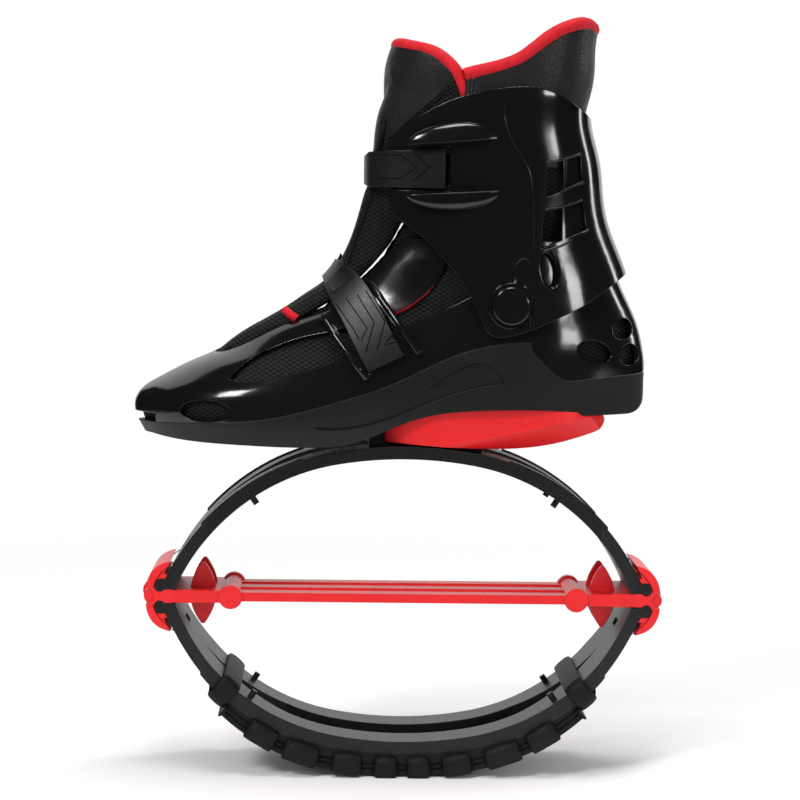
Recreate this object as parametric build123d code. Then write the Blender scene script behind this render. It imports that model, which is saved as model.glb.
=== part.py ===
from build123d import *
import os
import math

os.makedirs("parts", exist_ok=True)

# Boot, overall side view: toe to the left, heel to the right
boot_length = 310.0
boot_height = 254.0
toe_x = -164.0
boot_base_z = 200.0
boot_half_width = 52.0
toe_swing = 6.0
swing_start_x = -20.0
side_reach = 90.0

# Walls and running gaps
shell_wall = 3.0
sole_wall = 3.4
sole_floor = 4.0
cuff_wall = 3.0
liner_gap = 0.5
seat_gap = 0.3
hinge_gap = 0.05
liner_thickness = 7.0

# Springs
oval_mid_z = 107.0
arch_apex_z = 200.2
arch_crown_radius = 240.0
arch_flank_radius = 137.0
arch_crown_half = 43.0
arch_thickness = 7.6
arch_half_width = 38.0
arch_end_half_width = 27.5
arch_taper_start = 118.0
arch_taper_end = 141.0
slot_half_width = 13.0
slot_parallel_half = 70.0
slot_point_x = 122.0
hook_reach_x = 150.2
hook_thickness = 6.0
hook_lip_radius = 2.9
hook_gap = 0.35
window_centre_x = 134.0
window_length = 7.0
window_half_width = 6.0
peg_x = 92.0
peg_y = 28.0
peg_radius = 1.9
peg_height = 5.0
peg_root = 3.0
bead_width = 2.6
bead_height = 1.1

# Tension band
band_half_width = 27.5
bar_width = 11.0
bar_thickness = 5.4
plate_thickness = 7.4
cap_plate_thickness = 8.0
cap_plate_x = 126.0
roller_x = 104.5
roller_radius = 5.9
disc_radius = 7.2
disc_width = 3.4
fin_centre_x = 121.8
fin_half_length = 8.0
fin_half_height = 18.8
fin_y = 10.8
fin_thickness = 2.4
cap_notch_radius = 4.8
cap_reach_x = 155.5
cap_rib_half_width = 2.6

# Tread
tread_thickness = 13.0
tread_flank_radius = 131.0
tread_end_x = 116.5
tread_half_width = 38.0
lug_depth = 1.0
lug_reach = 42.6
lug_inner_y = 7.0
lug_centres = (10.0, 34.0, 63.0, 88.0)
lug_widths = (13.5, 17.5, 21.5, 19.0)
lug_round = 2.4
groove_depth = 1.1
groove_height = 1.5
clip_angle = 41.3
clip_width = 12.5
clip_wall = 3.2
clip_neck = 3.4


# Shared shapes
def side_point(pair):
    return Vector(toe_x + pair[0] * boot_length, 0, boot_base_z + pair[1] * boot_height)


def side_face(*runs):
    edges = []
    for run in runs:
        points = [side_point(pair) for pair in run]
        if len(points) == 2:
            edges.append(Line(points[0], points[1]))
        else:
            edges.append(Spline(*points))
    return Face(Wire(edges))


def slab(face, reach=side_reach):
    return extrude(face, amount=reach, dir=(0, 1, 0), both=True)


def half_slab(face, side):
    return extrude(face, amount=side_reach, dir=(0, side, 0))


def chain(points):
    return side_face(*[(points[i], points[(i + 1) % len(points)]) for i in range(len(points))])


def mirror_x(shape):
    return mirror(shape, about=Plane.YZ)


def mirror_y(shape):
    return mirror(shape, about=Plane.XZ)


def mirror_mid(shape):
    return mirror(shape, about=Plane.XY.offset(oval_mid_z))


def plain_box(low, high):
    size = [high[i] - low[i] for i in range(3)]
    middle = [(high[i] + low[i]) / 2 for i in range(3)]
    return Box(*size).moved(Location(tuple(middle)))


def pin_y(x, z, radius, low, high):
    body = Cylinder(radius, high - low, rotation=(90, 0, 0))
    return body.moved(Location((x, (low + high) / 2, z)))


def biggest(shape):
    return max(shape.solids(), key=lambda solid: solid.volume)


def save(shape, name):
    parts = list(shape.solids())
    export_step(parts[0] if len(parts) == 1 else Compound(children=parts), f"parts/{name}.step")


# Forms that narrow and widen with height: each row is height, front, rear, then the half widths at
# the ball, waist and heel, all as shares of the boot's height, length and half width
def swing(x):
    if x >= swing_start_x:
        return 0
    return -toe_swing * ((swing_start_x - x) / (swing_start_x - toe_x)) ** 2


def rows_from(shares):
    rows = []
    for row in shares:
        z = boot_base_z + row[0] * boot_height
        front = toe_x + row[1] * boot_length
        rear = toe_x + row[2] * boot_length
        rows.append((z, front, rear) + tuple(width * boot_half_width for width in row[3:]))
    return rows


def inset_row(row, inset):
    return (row[0], row[1] + inset, row[2] - inset) + tuple(width - inset for width in row[3:])


def loop(row, inset, nose_share):
    z, front, rear, ball, waist, heel = inset_row(row, inset)
    run = rear - front
    station_shares = (0.07, 0.30, 0.56, 0.86)
    stations = list(zip(station_shares, (nose_share * ball, ball, waist, heel)))
    points = [(front, 0)]
    points += [(front + share * run, -width) for share, width in stations]
    points += [(rear, 0)]
    points += [(front + share * run, width) for share, width in reversed(stations)]
    edge = Spline(*[Vector(x, y + swing(x), z) for x, y in points], periodic=True)
    return Face(Wire([edge]))


def form(rows, inset=0, nose_share=0.56):
    return loft([loop(row, inset, nose_share) for row in rows])


shell_rows = rows_from([
    (-0.010, 0.045, 0.977, 0.83, 0.635, 0.615),
    (0.024, 0.020, 0.989, 0.92, 0.730, 0.680),
    (0.055, 0.006, 0.994, 0.97, 0.790, 0.720),
    (0.087, 0.001, 0.997, 0.99, 0.835, 0.740),
    (0.122, 0.015, 0.999, 0.98, 0.865, 0.750),
    (0.154, 0.055, 0.999, 0.94, 0.885, 0.760),
    (0.189, 0.110, 1.000, 0.905, 0.885, 0.770),
    (0.224, 0.174, 0.997, 0.845, 0.875, 0.770),
    (0.278, 0.250, 0.987, 0.77, 0.856, 0.740),
    (0.335, 0.350, 0.968, 0.69, 0.846, 0.690),
    (0.394, 0.402, 0.945, 0.67, 0.837, 0.670),
    (0.440, 0.436, 0.929, 0.665, 0.829, 0.665),
    (0.488, 0.466, 0.912, 0.66, 0.820, 0.660),
    (0.560, 0.506, 0.895, 0.66, 0.810, 0.660),
])
cuff_rows = rows_from([
    (0.244, 0.335, 1.008, 0.88, 0.972, 0.860),
    (0.295, 0.368, 0.996, 0.88, 0.955, 0.840),
    (0.354, 0.400, 0.974, 0.87, 0.950, 0.815),
    (0.413, 0.432, 0.960, 0.86, 0.945, 0.790),
    (0.504, 0.450, 0.930, 0.84, 0.935, 0.775),
    (0.606, 0.458, 0.911, 0.84, 0.935, 0.790),
    (0.701, 0.462, 0.899, 0.845, 0.945, 0.810),
    (0.776, 0.466, 0.885, 0.85, 0.960, 0.830),
    (0.846, 0.470, 0.882, 0.86, 0.970, 0.840),
])
leg_rows = rows_from([
    (0.488, 0.480, 0.900, 0.590, 0.745, 0.590),
    (0.590, 0.480, 0.897, 0.740, 0.850, 0.700),
    (0.690, 0.480, 0.885, 0.755, 0.868, 0.725),
    (0.776, 0.482, 0.872, 0.765, 0.880, 0.745),
    (0.850, 0.479, 0.886, 0.790, 0.895, 0.765),
    (0.906, 0.482, 0.890, 0.815, 0.905, 0.785),
    (0.965, 0.500, 0.892, 0.815, 0.905, 0.785),
    (1.020, 0.510, 0.889, 0.810, 0.895, 0.770),
])
tongue_rows = rows_from([
    (0.200, 0.142, 0.470, 0.24, 0.26, 0.19),
    (0.228, 0.172, 0.520, 0.27, 0.30, 0.22),
    (0.258, 0.204, 0.565, 0.31, 0.34, 0.25),
    (0.287, 0.245, 0.605, 0.35, 0.37, 0.27),
    (0.320, 0.292, 0.650, 0.38, 0.39, 0.29),
    (0.354, 0.331, 0.690, 0.39, 0.40, 0.31),
    (0.394, 0.374, 0.730, 0.40, 0.42, 0.33),
    (0.441, 0.400, 0.740, 0.42, 0.44, 0.35),
    (0.492, 0.419, 0.750, 0.45, 0.47, 0.37),
    (0.551, 0.434, 0.760, 0.48, 0.50, 0.40),
    (0.614, 0.448, 0.770, 0.51, 0.53, 0.42),
    (0.677, 0.459, 0.775, 0.53, 0.55, 0.44),
    (0.787, 0.471, 0.780, 0.55, 0.57, 0.46),
    (0.885, 0.484, 0.785, 0.56, 0.58, 0.46),
])

blunt_nose = 0.80
liner_inset = sole_wall + liner_gap
liner_rows = [inset_row(row, liner_inset) for row in shell_rows[:-3]] + leg_rows

shell_form = form(shell_rows)
shell_hollow = form(shell_rows, shell_wall)
sole_hollow = form(shell_rows, sole_wall)
cuff_form = form(cuff_rows, 0, blunt_nose)
cuff_hollow = form(cuff_rows, cuff_wall, blunt_nose)
liner_form = form(liner_rows)
liner_hollow = form(liner_rows, liner_thickness)
tongue_form = form(tongue_rows, 0, blunt_nose)


# Leaf-spring arch: a crown arc and two tighter flank arcs, drawn for the upper one
def arc_layout(crown_radius, flank_radius, crown_centre_z, crown_half):
    angle = math.asin(crown_half / crown_radius)
    drop = crown_radius - flank_radius
    return angle, drop * math.sin(angle), crown_centre_z + drop * math.cos(angle)


crown_centre_z = arch_apex_z - arch_crown_radius
crown_angle, flank_centre_x, flank_centre_z = arc_layout(
    arch_crown_radius, arch_flank_radius, crown_centre_z, arch_crown_half)


def disc_face(x, z, radius):
    return Plane.XZ.offset(0) * Pos(x, z) * Circle(radius)


def box_face(low_x, high_x, low_z, high_z):
    return Plane.XZ * Pos((low_x + high_x) / 2, (low_z + high_z) / 2) * Rectangle(high_x - low_x, high_z - low_z)


def polygon_face(points):
    return Face(Wire.make_polygon([Vector(x, 0, z) for x, z in points], close=True))


def arc_point(centre_x, centre_z, radius, angle, way):
    return Vector(centre_x + radius * math.sin(angle), 0, centre_z + way * radius * math.cos(angle))


def three_arc_face(crown_z, crown_radius, flank_x, flank_z, flank_radius, angle, way):
    # Closed by a straight line between the ends of the flank arcs; way is 1 for a dome, -1 for a bowl
    end_angle = math.pi / 2
    middle_angle = (angle + end_angle) / 2
    junction = arc_point(0, crown_z, crown_radius, angle, way)
    apex = arc_point(0, crown_z, crown_radius, 0, way)
    middle = arc_point(flank_x, flank_z, flank_radius, middle_angle, way)
    end = arc_point(flank_x, flank_z, flank_radius, end_angle, way)
    flip = [Vector(-point.X, 0, point.Z) for point in (junction, middle, end)]
    return Face(Wire([
        ThreePointArc(flip[2], flip[1], flip[0]),
        ThreePointArc(flip[0], apex, junction),
        ThreePointArc(junction, middle, end),
        Line(end, flip[2]),
    ]))


def dome(depth):
    # Everything under the upper arch's outer curve moved inward by depth
    whole = three_arc_face(crown_centre_z, arch_crown_radius - depth, flank_centre_x, flank_centre_z,
                           arch_flank_radius - depth, crown_angle, 1)
    far = 2 * arch_crown_radius
    return whole & box_face(-far, far, oval_mid_z, arch_apex_z + far)


hook_bottom_z = oval_mid_z + cap_plate_thickness / 2 + hook_gap


def arch_band(grow):
    band = dome(-grow) - dome(arch_thickness + grow)
    band = band & box_face(-side_reach * 2, side_reach * 2, hook_bottom_z - grow, arch_apex_z + arch_thickness)
    foot_inner = 137.5
    foot = box_face(foot_inner - grow, hook_reach_x - hook_thickness / 2,
                    hook_bottom_z - grow, hook_bottom_z + hook_thickness + grow)
    foot = foot + disc_face(hook_reach_x - hook_thickness / 2, hook_bottom_z + hook_thickness / 2,
                            hook_thickness / 2 + grow)
    lip = disc_face(hook_reach_x - hook_thickness / 2, hook_bottom_z + hook_thickness / 2 - hook_lip_radius / 2,
                    hook_lip_radius + grow)
    foot = foot + lip
    return band + foot + mirror_x(foot)


arch_plan = Face(Wire.make_polygon([
    Vector(-arch_taper_start, -arch_half_width, 0), Vector(arch_taper_start, -arch_half_width, 0),
    Vector(arch_taper_end, -arch_end_half_width, 0), Vector(hook_reach_x + arch_thickness, -arch_end_half_width, 0),
    Vector(hook_reach_x + arch_thickness, arch_end_half_width, 0), Vector(arch_taper_end, arch_end_half_width, 0),
    Vector(arch_taper_start, arch_half_width, 0), Vector(-arch_taper_start, arch_half_width, 0),
    Vector(-arch_taper_end, arch_end_half_width, 0), Vector(-hook_reach_x - arch_thickness, arch_end_half_width, 0),
    Vector(-hook_reach_x - arch_thickness, -arch_end_half_width, 0), Vector(-arch_taper_end, -arch_end_half_width, 0),
], close=True))
slot_plan = Face(Wire.make_polygon([
    Vector(-slot_point_x, 0, 0), Vector(-slot_parallel_half, -slot_half_width, 0),
    Vector(slot_parallel_half, -slot_half_width, 0), Vector(slot_point_x, 0, 0),
    Vector(slot_parallel_half, slot_half_width, 0), Vector(-slot_parallel_half, slot_half_width, 0),
], close=True))


def upright(face, height=300.0):
    return extrude(face, amount=height, dir=(0, 0, 1))


arch_solid = slab(arch_band(0)) & upright(arch_plan)
arch_solid -= upright(slot_plan)
for side in (-1, 1):
    arch_solid -= plain_box((side * window_centre_x - window_length / 2, -window_half_width, oval_mid_z + 2 * arch_thickness),
                            (side * window_centre_x + window_length / 2, window_half_width, oval_mid_z + 6 * arch_thickness))
bead = slab(dome(-bead_height)) - slab(dome(bead_height))
bead = bead & upright(arch_plan) & plain_box((-slot_point_x, -arch_half_width, oval_mid_z),
                                             (slot_point_x, arch_half_width, arch_apex_z + arch_thickness))
bead -= plain_box((-slot_point_x, -arch_half_width + bead_width, oval_mid_z),
                  (slot_point_x, arch_half_width - bead_width, arch_apex_z + arch_thickness))
bead_clear_x = 62.0
bead -= plain_box((-bead_clear_x, -arch_half_width, oval_mid_z), (bead_clear_x, arch_half_width, arch_apex_z + arch_thickness))


def arch_inner_z(x):
    reach = arch_flank_radius - arch_thickness
    return flank_centre_z + math.sqrt(reach ** 2 - (abs(x) - flank_centre_x) ** 2)


pegs = []
for side in (-1, 1):
    for y in (-peg_y, peg_y):
        top = arch_inner_z(side * peg_x)
        lean = math.degrees(math.asin((peg_x - flank_centre_x) / (arch_flank_radius - arch_thickness)))
        peg = Cylinder(peg_radius, peg_height + peg_root, align=(Align.CENTER, Align.CENTER, Align.MIN))
        peg = peg.moved(Location((0, 0, -peg_height))).moved(Location((side * peg_x, y, top), (0, side * lean, 0)))
        pegs.append(peg)
arch_solid = arch_solid + pegs

# Clamp plate on the upper arch's crown and bolts with their heads sunk in its underside
clamp_low_x = -21.0
clamp_high_x = 45.0
clamp_half_width = 25.0
clamp_thickness = 3.0
bolt_middle_x = 12.0
bolt_half_spacing = 22.0
bolt_sink = 0.3
bolt_y = 20.5
bolt_radius = 3.0
bolt_head_radius = 5.5
bolt_head_height = 3.5
bolt_length = 17.5
clamp_plate = (slab(dome(-clamp_thickness)) - slab(dome(0))) & plain_box(
    (clamp_low_x, -clamp_half_width, oval_mid_z), (clamp_high_x, clamp_half_width, arch_apex_z + clamp_thickness))
bolt_places = [(bolt_middle_x + way * bolt_half_spacing, y) for way in (-1, 1) for y in (-bolt_y, bolt_y)]
bolt_seat_z = arch_apex_z - arch_thickness + bolt_head_height + bolt_sink
bolts = []
bolt_holes = []
for x, y in bolt_places:
    seat = bolt_seat_z - x ** 2 / (2 * (arch_crown_radius - arch_thickness))
    shank = Cylinder(bolt_radius, bolt_length, align=(Align.CENTER, Align.CENTER, Align.MIN))
    head = Cylinder(bolt_head_radius, bolt_head_height, align=(Align.CENTER, Align.CENTER, Align.MAX))
    bolts.append((shank + head).moved(Location((x, y, seat))))
    sink = Cylinder(bolt_head_radius, 2 * bolt_head_height, align=(Align.CENTER, Align.CENTER, Align.MAX))
    bolt_holes.append((shank + sink).moved(Location((x, y, seat))))
upper_arch = arch_solid + bead
for hole in bolt_holes:
    upper_arch -= hole
    clamp_plate -= hole
lower_arch = mirror_mid(arch_solid + bead)
save(upper_arch, "upper_spring_arch")
save(lower_arch, "lower_spring_arch")
save(clamp_plate, "arch_clamp_plate")
save(Compound(children=bolts), "arch_mount_bolts")

# Tension band with its end caps, one red moulding
band = None
for y in (-bar_width * 2, 0, bar_width * 2):
    bar = plain_box((-roller_x, y - bar_width / 2, oval_mid_z - bar_thickness / 2),
                    (roller_x, y + bar_width / 2, oval_mid_z + bar_thickness / 2))
    band = bar if band is None else band + bar
cap_tip_x = 136.6
cap_half_height = 21.8
cap_reach_shares = ((0.42, 0.93), (0.74, 0.76), (0.93, 0.50))


def cap_half():
    # A low triangle along the plate, closed by the cap's rounded back
    tip = Vector(cap_tip_x, 0, oval_mid_z + cap_half_height)
    nose = Vector(cap_reach_x, 0, oval_mid_z + cap_notch_radius)
    back = [tip] + [Vector(cap_tip_x + x * (cap_reach_x - cap_tip_x), 0, oval_mid_z + z * cap_half_height)
                    for x, z in cap_reach_shares] + [nose]
    foot = Vector(cap_reach_x, 0, oval_mid_z)
    root = Vector(cap_plate_x, 0, oval_mid_z)
    shoulder = Vector(cap_plate_x, 0, oval_mid_z + cap_plate_thickness / 2)
    return Face(Wire([Spline(*back), Line(nose, foot), Line(foot, root), Line(root, shoulder), Line(shoulder, tip)]))


cap_face = cap_half()
cap_face = cap_face + mirror(cap_face, about=Plane.XY.offset(oval_mid_z))
cap_face = cap_face - disc_face(cap_reach_x, oval_mid_z, cap_notch_radius)
claw_inner = arch_band(hook_gap) + (dome(-2 * hook_gap - 1.6) & box_face(0, side_reach * 2, hook_bottom_z + 3 * hook_thickness / 2,
                                                                        arch_apex_z))
claw_inner = claw_inner + box_face(0, hook_reach_x - 1.6 * arch_thickness, oval_mid_z + cap_plate_thickness / 2,
                                   arch_apex_z)
cap_face = cap_face - claw_inner - mirror(claw_inner, about=Plane.XY.offset(oval_mid_z))
cap = slab(cap_face, band_half_width)
cap_rib = disc_face(cap_reach_x - cap_notch_radius / 2, oval_mid_z, cap_notch_radius + 1.2)
cap_rib = cap_rib - claw_inner - mirror(claw_inner, about=Plane.XY.offset(oval_mid_z))
cap = cap + slab(cap_rib, cap_rib_half_width)
end_plate = plain_box((roller_x, -band_half_width, oval_mid_z - plate_thickness / 2),
                      (cap_plate_x + bead_width, band_half_width, oval_mid_z + plate_thickness / 2))
roller = pin_y(roller_x, oval_mid_z, roller_radius, -band_half_width, band_half_width)
discs = pin_y(roller_x, oval_mid_z, disc_radius, -band_half_width - disc_width / 2, -band_half_width + disc_width)
discs = discs + mirror_y(discs)
fin_tip = fin_half_length * 0.12
fin_profile = Face(Wire([
    Spline(Vector(fin_centre_x - fin_tip, 0, oval_mid_z + fin_half_height),
           Vector(fin_centre_x - fin_half_length, 0, oval_mid_z),
           Vector(fin_centre_x - fin_tip, 0, oval_mid_z - fin_half_height)),
    Line(Vector(fin_centre_x - fin_tip, 0, oval_mid_z - fin_half_height),
         Vector(fin_centre_x + fin_tip, 0, oval_mid_z - fin_half_height)),
    Spline(Vector(fin_centre_x + fin_tip, 0, oval_mid_z - fin_half_height),
           Vector(fin_centre_x + fin_half_length, 0, oval_mid_z),
           Vector(fin_centre_x + fin_tip, 0, oval_mid_z + fin_half_height)),
    Line(Vector(fin_centre_x + fin_tip, 0, oval_mid_z + fin_half_height),
         Vector(fin_centre_x - fin_tip, 0, oval_mid_z + fin_half_height)),
]))
fin = slab(fin_profile, fin_thickness / 2)
end_group = cap + end_plate + roller + discs
for y in (-fin_y, fin_y):
    end_group = end_group + fin.moved(Location((0, y, 0)))
band = band + end_group + mirror_x(end_group)
save(band, "tension_band")

# Tread: follows the lower arch, drawn the right way up with its own arcs
tread_crown_radius = arch_crown_radius + tread_thickness
ground_flat_depth = 0.5
tread_angle, tread_flank_x, tread_flank_drop = arc_layout(
    tread_crown_radius + lug_depth, tread_flank_radius, 0, arch_crown_half)
tread_centre_z = tread_crown_radius + lug_depth - ground_flat_depth


def bowl(depth):
    # Everything above the tread's outer curve moved inward by depth
    whole = three_arc_face(tread_centre_z, tread_crown_radius + lug_depth - depth, tread_flank_x,
                           tread_centre_z - tread_flank_drop, tread_flank_radius - depth, tread_angle, -1)
    far = 2 * arch_crown_radius
    return whole & box_face(-far, far, 0, oval_mid_z)


under_arch = mirror_mid(slab(dome(0)))
end_cut = box_face(-tread_end_x, tread_end_x, 0, oval_mid_z)
tread_body = slab(bowl(lug_depth) & end_cut, tread_half_width) - under_arch
for depth in (lug_depth + 4 * groove_height, lug_depth + 2 * groove_height):
    ring = slab((bowl(depth) - bowl(depth + groove_height)) & end_cut)
    tread_body -= ring - plain_box((-tread_end_x, -tread_half_width + groove_depth, 0),
                                   (tread_end_x, tread_half_width - groove_depth, oval_mid_z))


def tread_bottom_angle(x):
    return math.degrees(math.asin((x - tread_flank_x) / tread_flank_radius)) if x > arch_crown_half else \
        math.degrees(math.asin(x / tread_crown_radius))


def tread_bottom_z(x):
    if x > arch_crown_half:
        return tread_centre_z - tread_flank_drop - math.sqrt(tread_flank_radius ** 2 - (x - tread_flank_x) ** 2)
    return tread_centre_z - math.sqrt((tread_crown_radius + lug_depth) ** 2 - x ** 2)


lug_height = 12.4
lugs = []
end_lug_centre = 113.0
end_lug_width = 9.0
for centre, width in list(zip(lug_centres, lug_widths)) + [(end_lug_centre, end_lug_width)]:
    angle = tread_bottom_angle(centre)
    tall = lug_height if centre < end_lug_centre else lug_height * 0.62
    block = Box(width, lug_reach - lug_inner_y, tall, align=(Align.CENTER, Align.MIN, Align.MIN))
    block = fillet(block.edges().filter_by(Axis.Z), lug_round)
    block = fillet(block.faces().sort_by(Axis.Y)[-1].edges(), lug_round * 0.6)
    block = block.moved(Location((0, lug_inner_y, 0))).moved(Location((centre, 0, tread_bottom_z(centre)), (0, -angle, 0)))
    lugs += [block, mirror_y(block), mirror_x(block), mirror_x(mirror_y(block))]
lug_limit = slab(bowl(0) & box_face(-2 * tread_end_x, 2 * tread_end_x, 0, oval_mid_z))
centre_block_half = 4.6
lugs.append(plain_box((-centre_block_half, -centre_block_half, 0), (centre_block_half, centre_block_half, lug_height)))
tread = tread_body
for lug in lugs:
    tread = tread + ((lug & lug_limit) - under_arch)


# Rubber loops over the tread's necks
def radial_box(low, high, width, reach):
    # About the lower arch's flank centre, at the loop's angle
    centre_z = 2 * oval_mid_z - flank_centre_z
    middle = (low + high) / 2
    box = Box(width, 2 * reach, high - low).moved(Location((0, 0, -middle)))
    return box.moved(Location((flank_centre_x, 0, centre_z), (0, -clip_angle, 0)))


arch_inner_radius = arch_flank_radius - arch_thickness
neck_radius = arch_flank_radius + clip_neck
neck_cut = radial_box(neck_radius, neck_radius + 3 * clip_neck, clip_width + 2 * seat_gap, side_reach)
neck_side = radial_box(arch_inner_radius, neck_radius + clip_neck, clip_width + 2 * seat_gap, side_reach) - radial_box(
    arch_inner_radius, neck_radius + clip_neck, clip_width + 4 * seat_gap, tread_half_width)
tread = tread - neck_cut - mirror_x(neck_cut) - neck_side - mirror_x(neck_side)
tread = biggest(tread - lower_arch)
save(tread, "tread_sole")
clip = radial_box(arch_inner_radius - clip_wall, neck_radius + clip_wall, clip_width, tread_half_width + clip_wall)
clip = fillet(clip.edges().filter_by(lambda edge: edge.length < 2 * clip_width and abs(edge.length - clip_width) < seat_gap),
              clip_wall / 2)
clip = clip - radial_box(arch_inner_radius, neck_radius, clip_width * 2, tread_half_width)
clip = clip - mirror_mid(arch_solid + bead) - tread
save(clip, "tread_clip_rear")
save(mirror_x(clip), "tread_clip_front")


# Sole and lower shell: one flush form split along a rising line, with a groove round the toe
toe_groove_shares = (0.048, 0.069)
toe_groove_end_share = 0.044
rise_run = [(toe_groove_end_share, 0.048), (0.115, 0.052), (0.197, 0.056), (0.296, 0.073), (0.387, 0.103),
            (0.476, 0.137), (0.544, 0.174), (0.629, 0.222), (0.680, 0.239), (0.714, 0.246), (0.765, 0.249)]
fall_run = [(0.768, 0.226), (0.793, 0.195), (0.824, 0.166), (0.848, 0.160)]
heel_run = [(0.848, 0.160), (0.920, 0.168), (1.040, 0.177)]
bottom_run = [(0.857, 0.087), (0.769, 0.092), (0.683, 0.090), (0.581, 0.077), (0.520, 0.054), (0.460, 0.022),
              (0.382, -0.001)]
heel_corner_run = [(0.999, 0.116), (0.988, 0.091), (0.962, 0.079)]
heel_step = (0.868, 0.078)
forefoot_run = [(0.382, -0.001), (0.325, -0.002), (0.209, 0.002), (0.094, 0.009), (0.037, 0.018)]
ahead_share = -0.060
behind_share = 1.040
shell_top_share = 0.488
sole_region = side_face(
    [(ahead_share, 0.026), (ahead_share, 0.048)], [(ahead_share, 0.048), rise_run[0]], rise_run,
    [rise_run[-1], fall_run[0]], fall_run, heel_run, [heel_run[-1], (behind_share, 0.125)],
    [(behind_share, 0.125), heel_corner_run[0]], heel_corner_run, [heel_corner_run[-1], heel_step],
    [heel_step, bottom_run[0]], bottom_run, forefoot_run,
    [forefoot_run[-1], (ahead_share, 0.026)])
shell_region = side_face(
    [(ahead_share, 0.069), (toe_groove_end_share, 0.069)], [(toe_groove_end_share, 0.069), rise_run[0]], rise_run,
    [rise_run[-1], fall_run[0]], fall_run, heel_run, [heel_run[-1], (behind_share, shell_top_share)],
    [(behind_share, shell_top_share), (ahead_share, shell_top_share)],
    [(ahead_share, shell_top_share), (ahead_share, 0.069)])
floor_shares = [(0.020, 0.036), (0.094, 0.027), (0.209, 0.020), (0.325, 0.016), (0.392, 0.018), (0.460, 0.042), (0.520, 0.071),
                (0.581, 0.094), (0.683, 0.105), (0.769, 0.107), (0.855, 0.102), (0.930, 0.100), (1.040, 0.100)]


def above_floor(lift):
    run = [(x, z + lift / boot_height) for x, z in floor_shares]
    high = 1.200
    return side_face(run, [run[-1], (behind_share, high)], [(behind_share, high), (ahead_share, high)],
                     [(ahead_share, high), (ahead_share, run[0][1])], [(ahead_share, run[0][1]), run[0]])


boss_low_x = -22.0
boss_high_x = 46.0
boss_half_width = 26.0
sole = (shell_form & slab(sole_region)) - (sole_hollow & slab(above_floor(0)))
boss_low, boss_sink = -0.100, 0.008
boss_run = [(x, z + boss_sink) for x, z in bottom_run[2:]]
boss_region = side_face(
    boss_run, [boss_run[-1], (boss_run[-1][0], boss_low)], [(boss_run[-1][0], boss_low), (boss_run[0][0], boss_low)],
    [(boss_run[0][0], boss_low), boss_run[0]])
boss_span = plain_box((boss_low_x, -boss_half_width, oval_mid_z), (boss_high_x, boss_half_width, boot_base_z * 2))
boss = (slab(boss_region) & boss_span) - slab(dome(0)) - clamp_plate
sole = sole + boss
for hole in bolt_holes:
    sole -= hole
dish_depth = 1.2
dish_region = side_face(
    [(0.351, 0.045), (0.430, 0.070), (0.515, 0.104), (0.572, 0.149), (0.625, 0.187), (0.667, 0.204), (0.700, 0.186),
     (0.716, 0.152)],
    [(0.716, 0.152), (0.668, 0.144), (0.611, 0.124), (0.515, 0.076), (0.430, 0.046), (0.351, 0.045)])
sole = sole - (slab(dish_region) - form(shell_rows, dish_depth))
sole = biggest(sole)
save(sole, "sole_base")

# Lower shell with its windows, vents, hinge seats and strap guide ribs
hinge_x, hinge_z = 60.6, 285.4
hinge_radius = 5.0
hinge_shell_face = 45.2
hinge_cuff_face = 45.6
hinge_cuff_outer = 50.2
hinge_seat_radius = 13.5
hinge_cap_radius = 11.5
hinge_cap_thickness = 3.2
hinge_flange_radius = 8.5
hinge_flange_thickness = 1.8
window_region = side_face(
    [(0.188, 0.155), (0.211, 0.186), (0.271, 0.229), (0.326, 0.254), (0.389, 0.271), (0.475, 0.303), (0.541, 0.340),
     (0.571, 0.372), (0.601, 0.437)],
    [(0.601, 0.437), (0.660, 0.362)],
    [(0.660, 0.362), (0.589, 0.320), (0.523, 0.283), (0.409, 0.213), (0.360, 0.186), (0.294, 0.167), (0.212, 0.150),
     (0.188, 0.155)])


def oval_prism(pair, half_length, half_height, tilt):
    place = side_point(pair)
    face = Plane(origin=place, x_dir=(1, 0, 0), z_dir=(0, -1, 0)) * Rot(0, 0, tilt) * Ellipse(half_length, half_height)
    return slab(face)


toe_vent = oval_prism((0.143, 0.081), 15.0, 6.6, 0)
heel_oval = oval_prism((0.888, 0.230), 11.0, 6.6, -15)
heel_round_length, heel_round_height = 6.6, 6.5
heel_spine_half = 14.0
spine_keep = plain_box((-boot_length, -heel_spine_half, 0), (boot_length, heel_spine_half, 2 * boot_height))
heel_high = oval_prism((0.947, 0.282), heel_round_length, heel_round_height, 0) - spine_keep
heel_low = oval_prism((0.962, 0.221), heel_round_length, heel_round_height, 0) - spine_keep
shell = (shell_form & slab(shell_region)) - shell_hollow - form(tongue_rows, -2 * seat_gap, blunt_nose)
shell = shell - slab(window_region) - toe_vent - heel_oval - heel_high - heel_low
seat_ring = pin_y(hinge_x, hinge_z, hinge_seat_radius, -hinge_shell_face, hinge_shell_face)
shell = shell + (seat_ring - shell_hollow)
shell = shell - (pin_y(hinge_x, hinge_z, hinge_seat_radius + seat_gap, -2 * hinge_cuff_face, 2 * hinge_cuff_face) -
                 pin_y(hinge_x, hinge_z, hinge_seat_radius + 2 * seat_gap, -hinge_shell_face, hinge_shell_face))
rib_half_width = 2.1
rib_height = 2.6
pane_bar_half = 1.0


def bar_region(first, last, half_width):
    start, end = side_point(first), side_point(last)
    run = end - start
    angle = math.degrees(math.atan2(run.Z, run.X))
    face = Plane.XZ * Pos((start.X + end.X) / 2, (start.Z + end.Z) / 2) * Rot(0, 0, angle) * SlotOverall(
        run.length, 2 * half_width)
    return slab(face)


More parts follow.
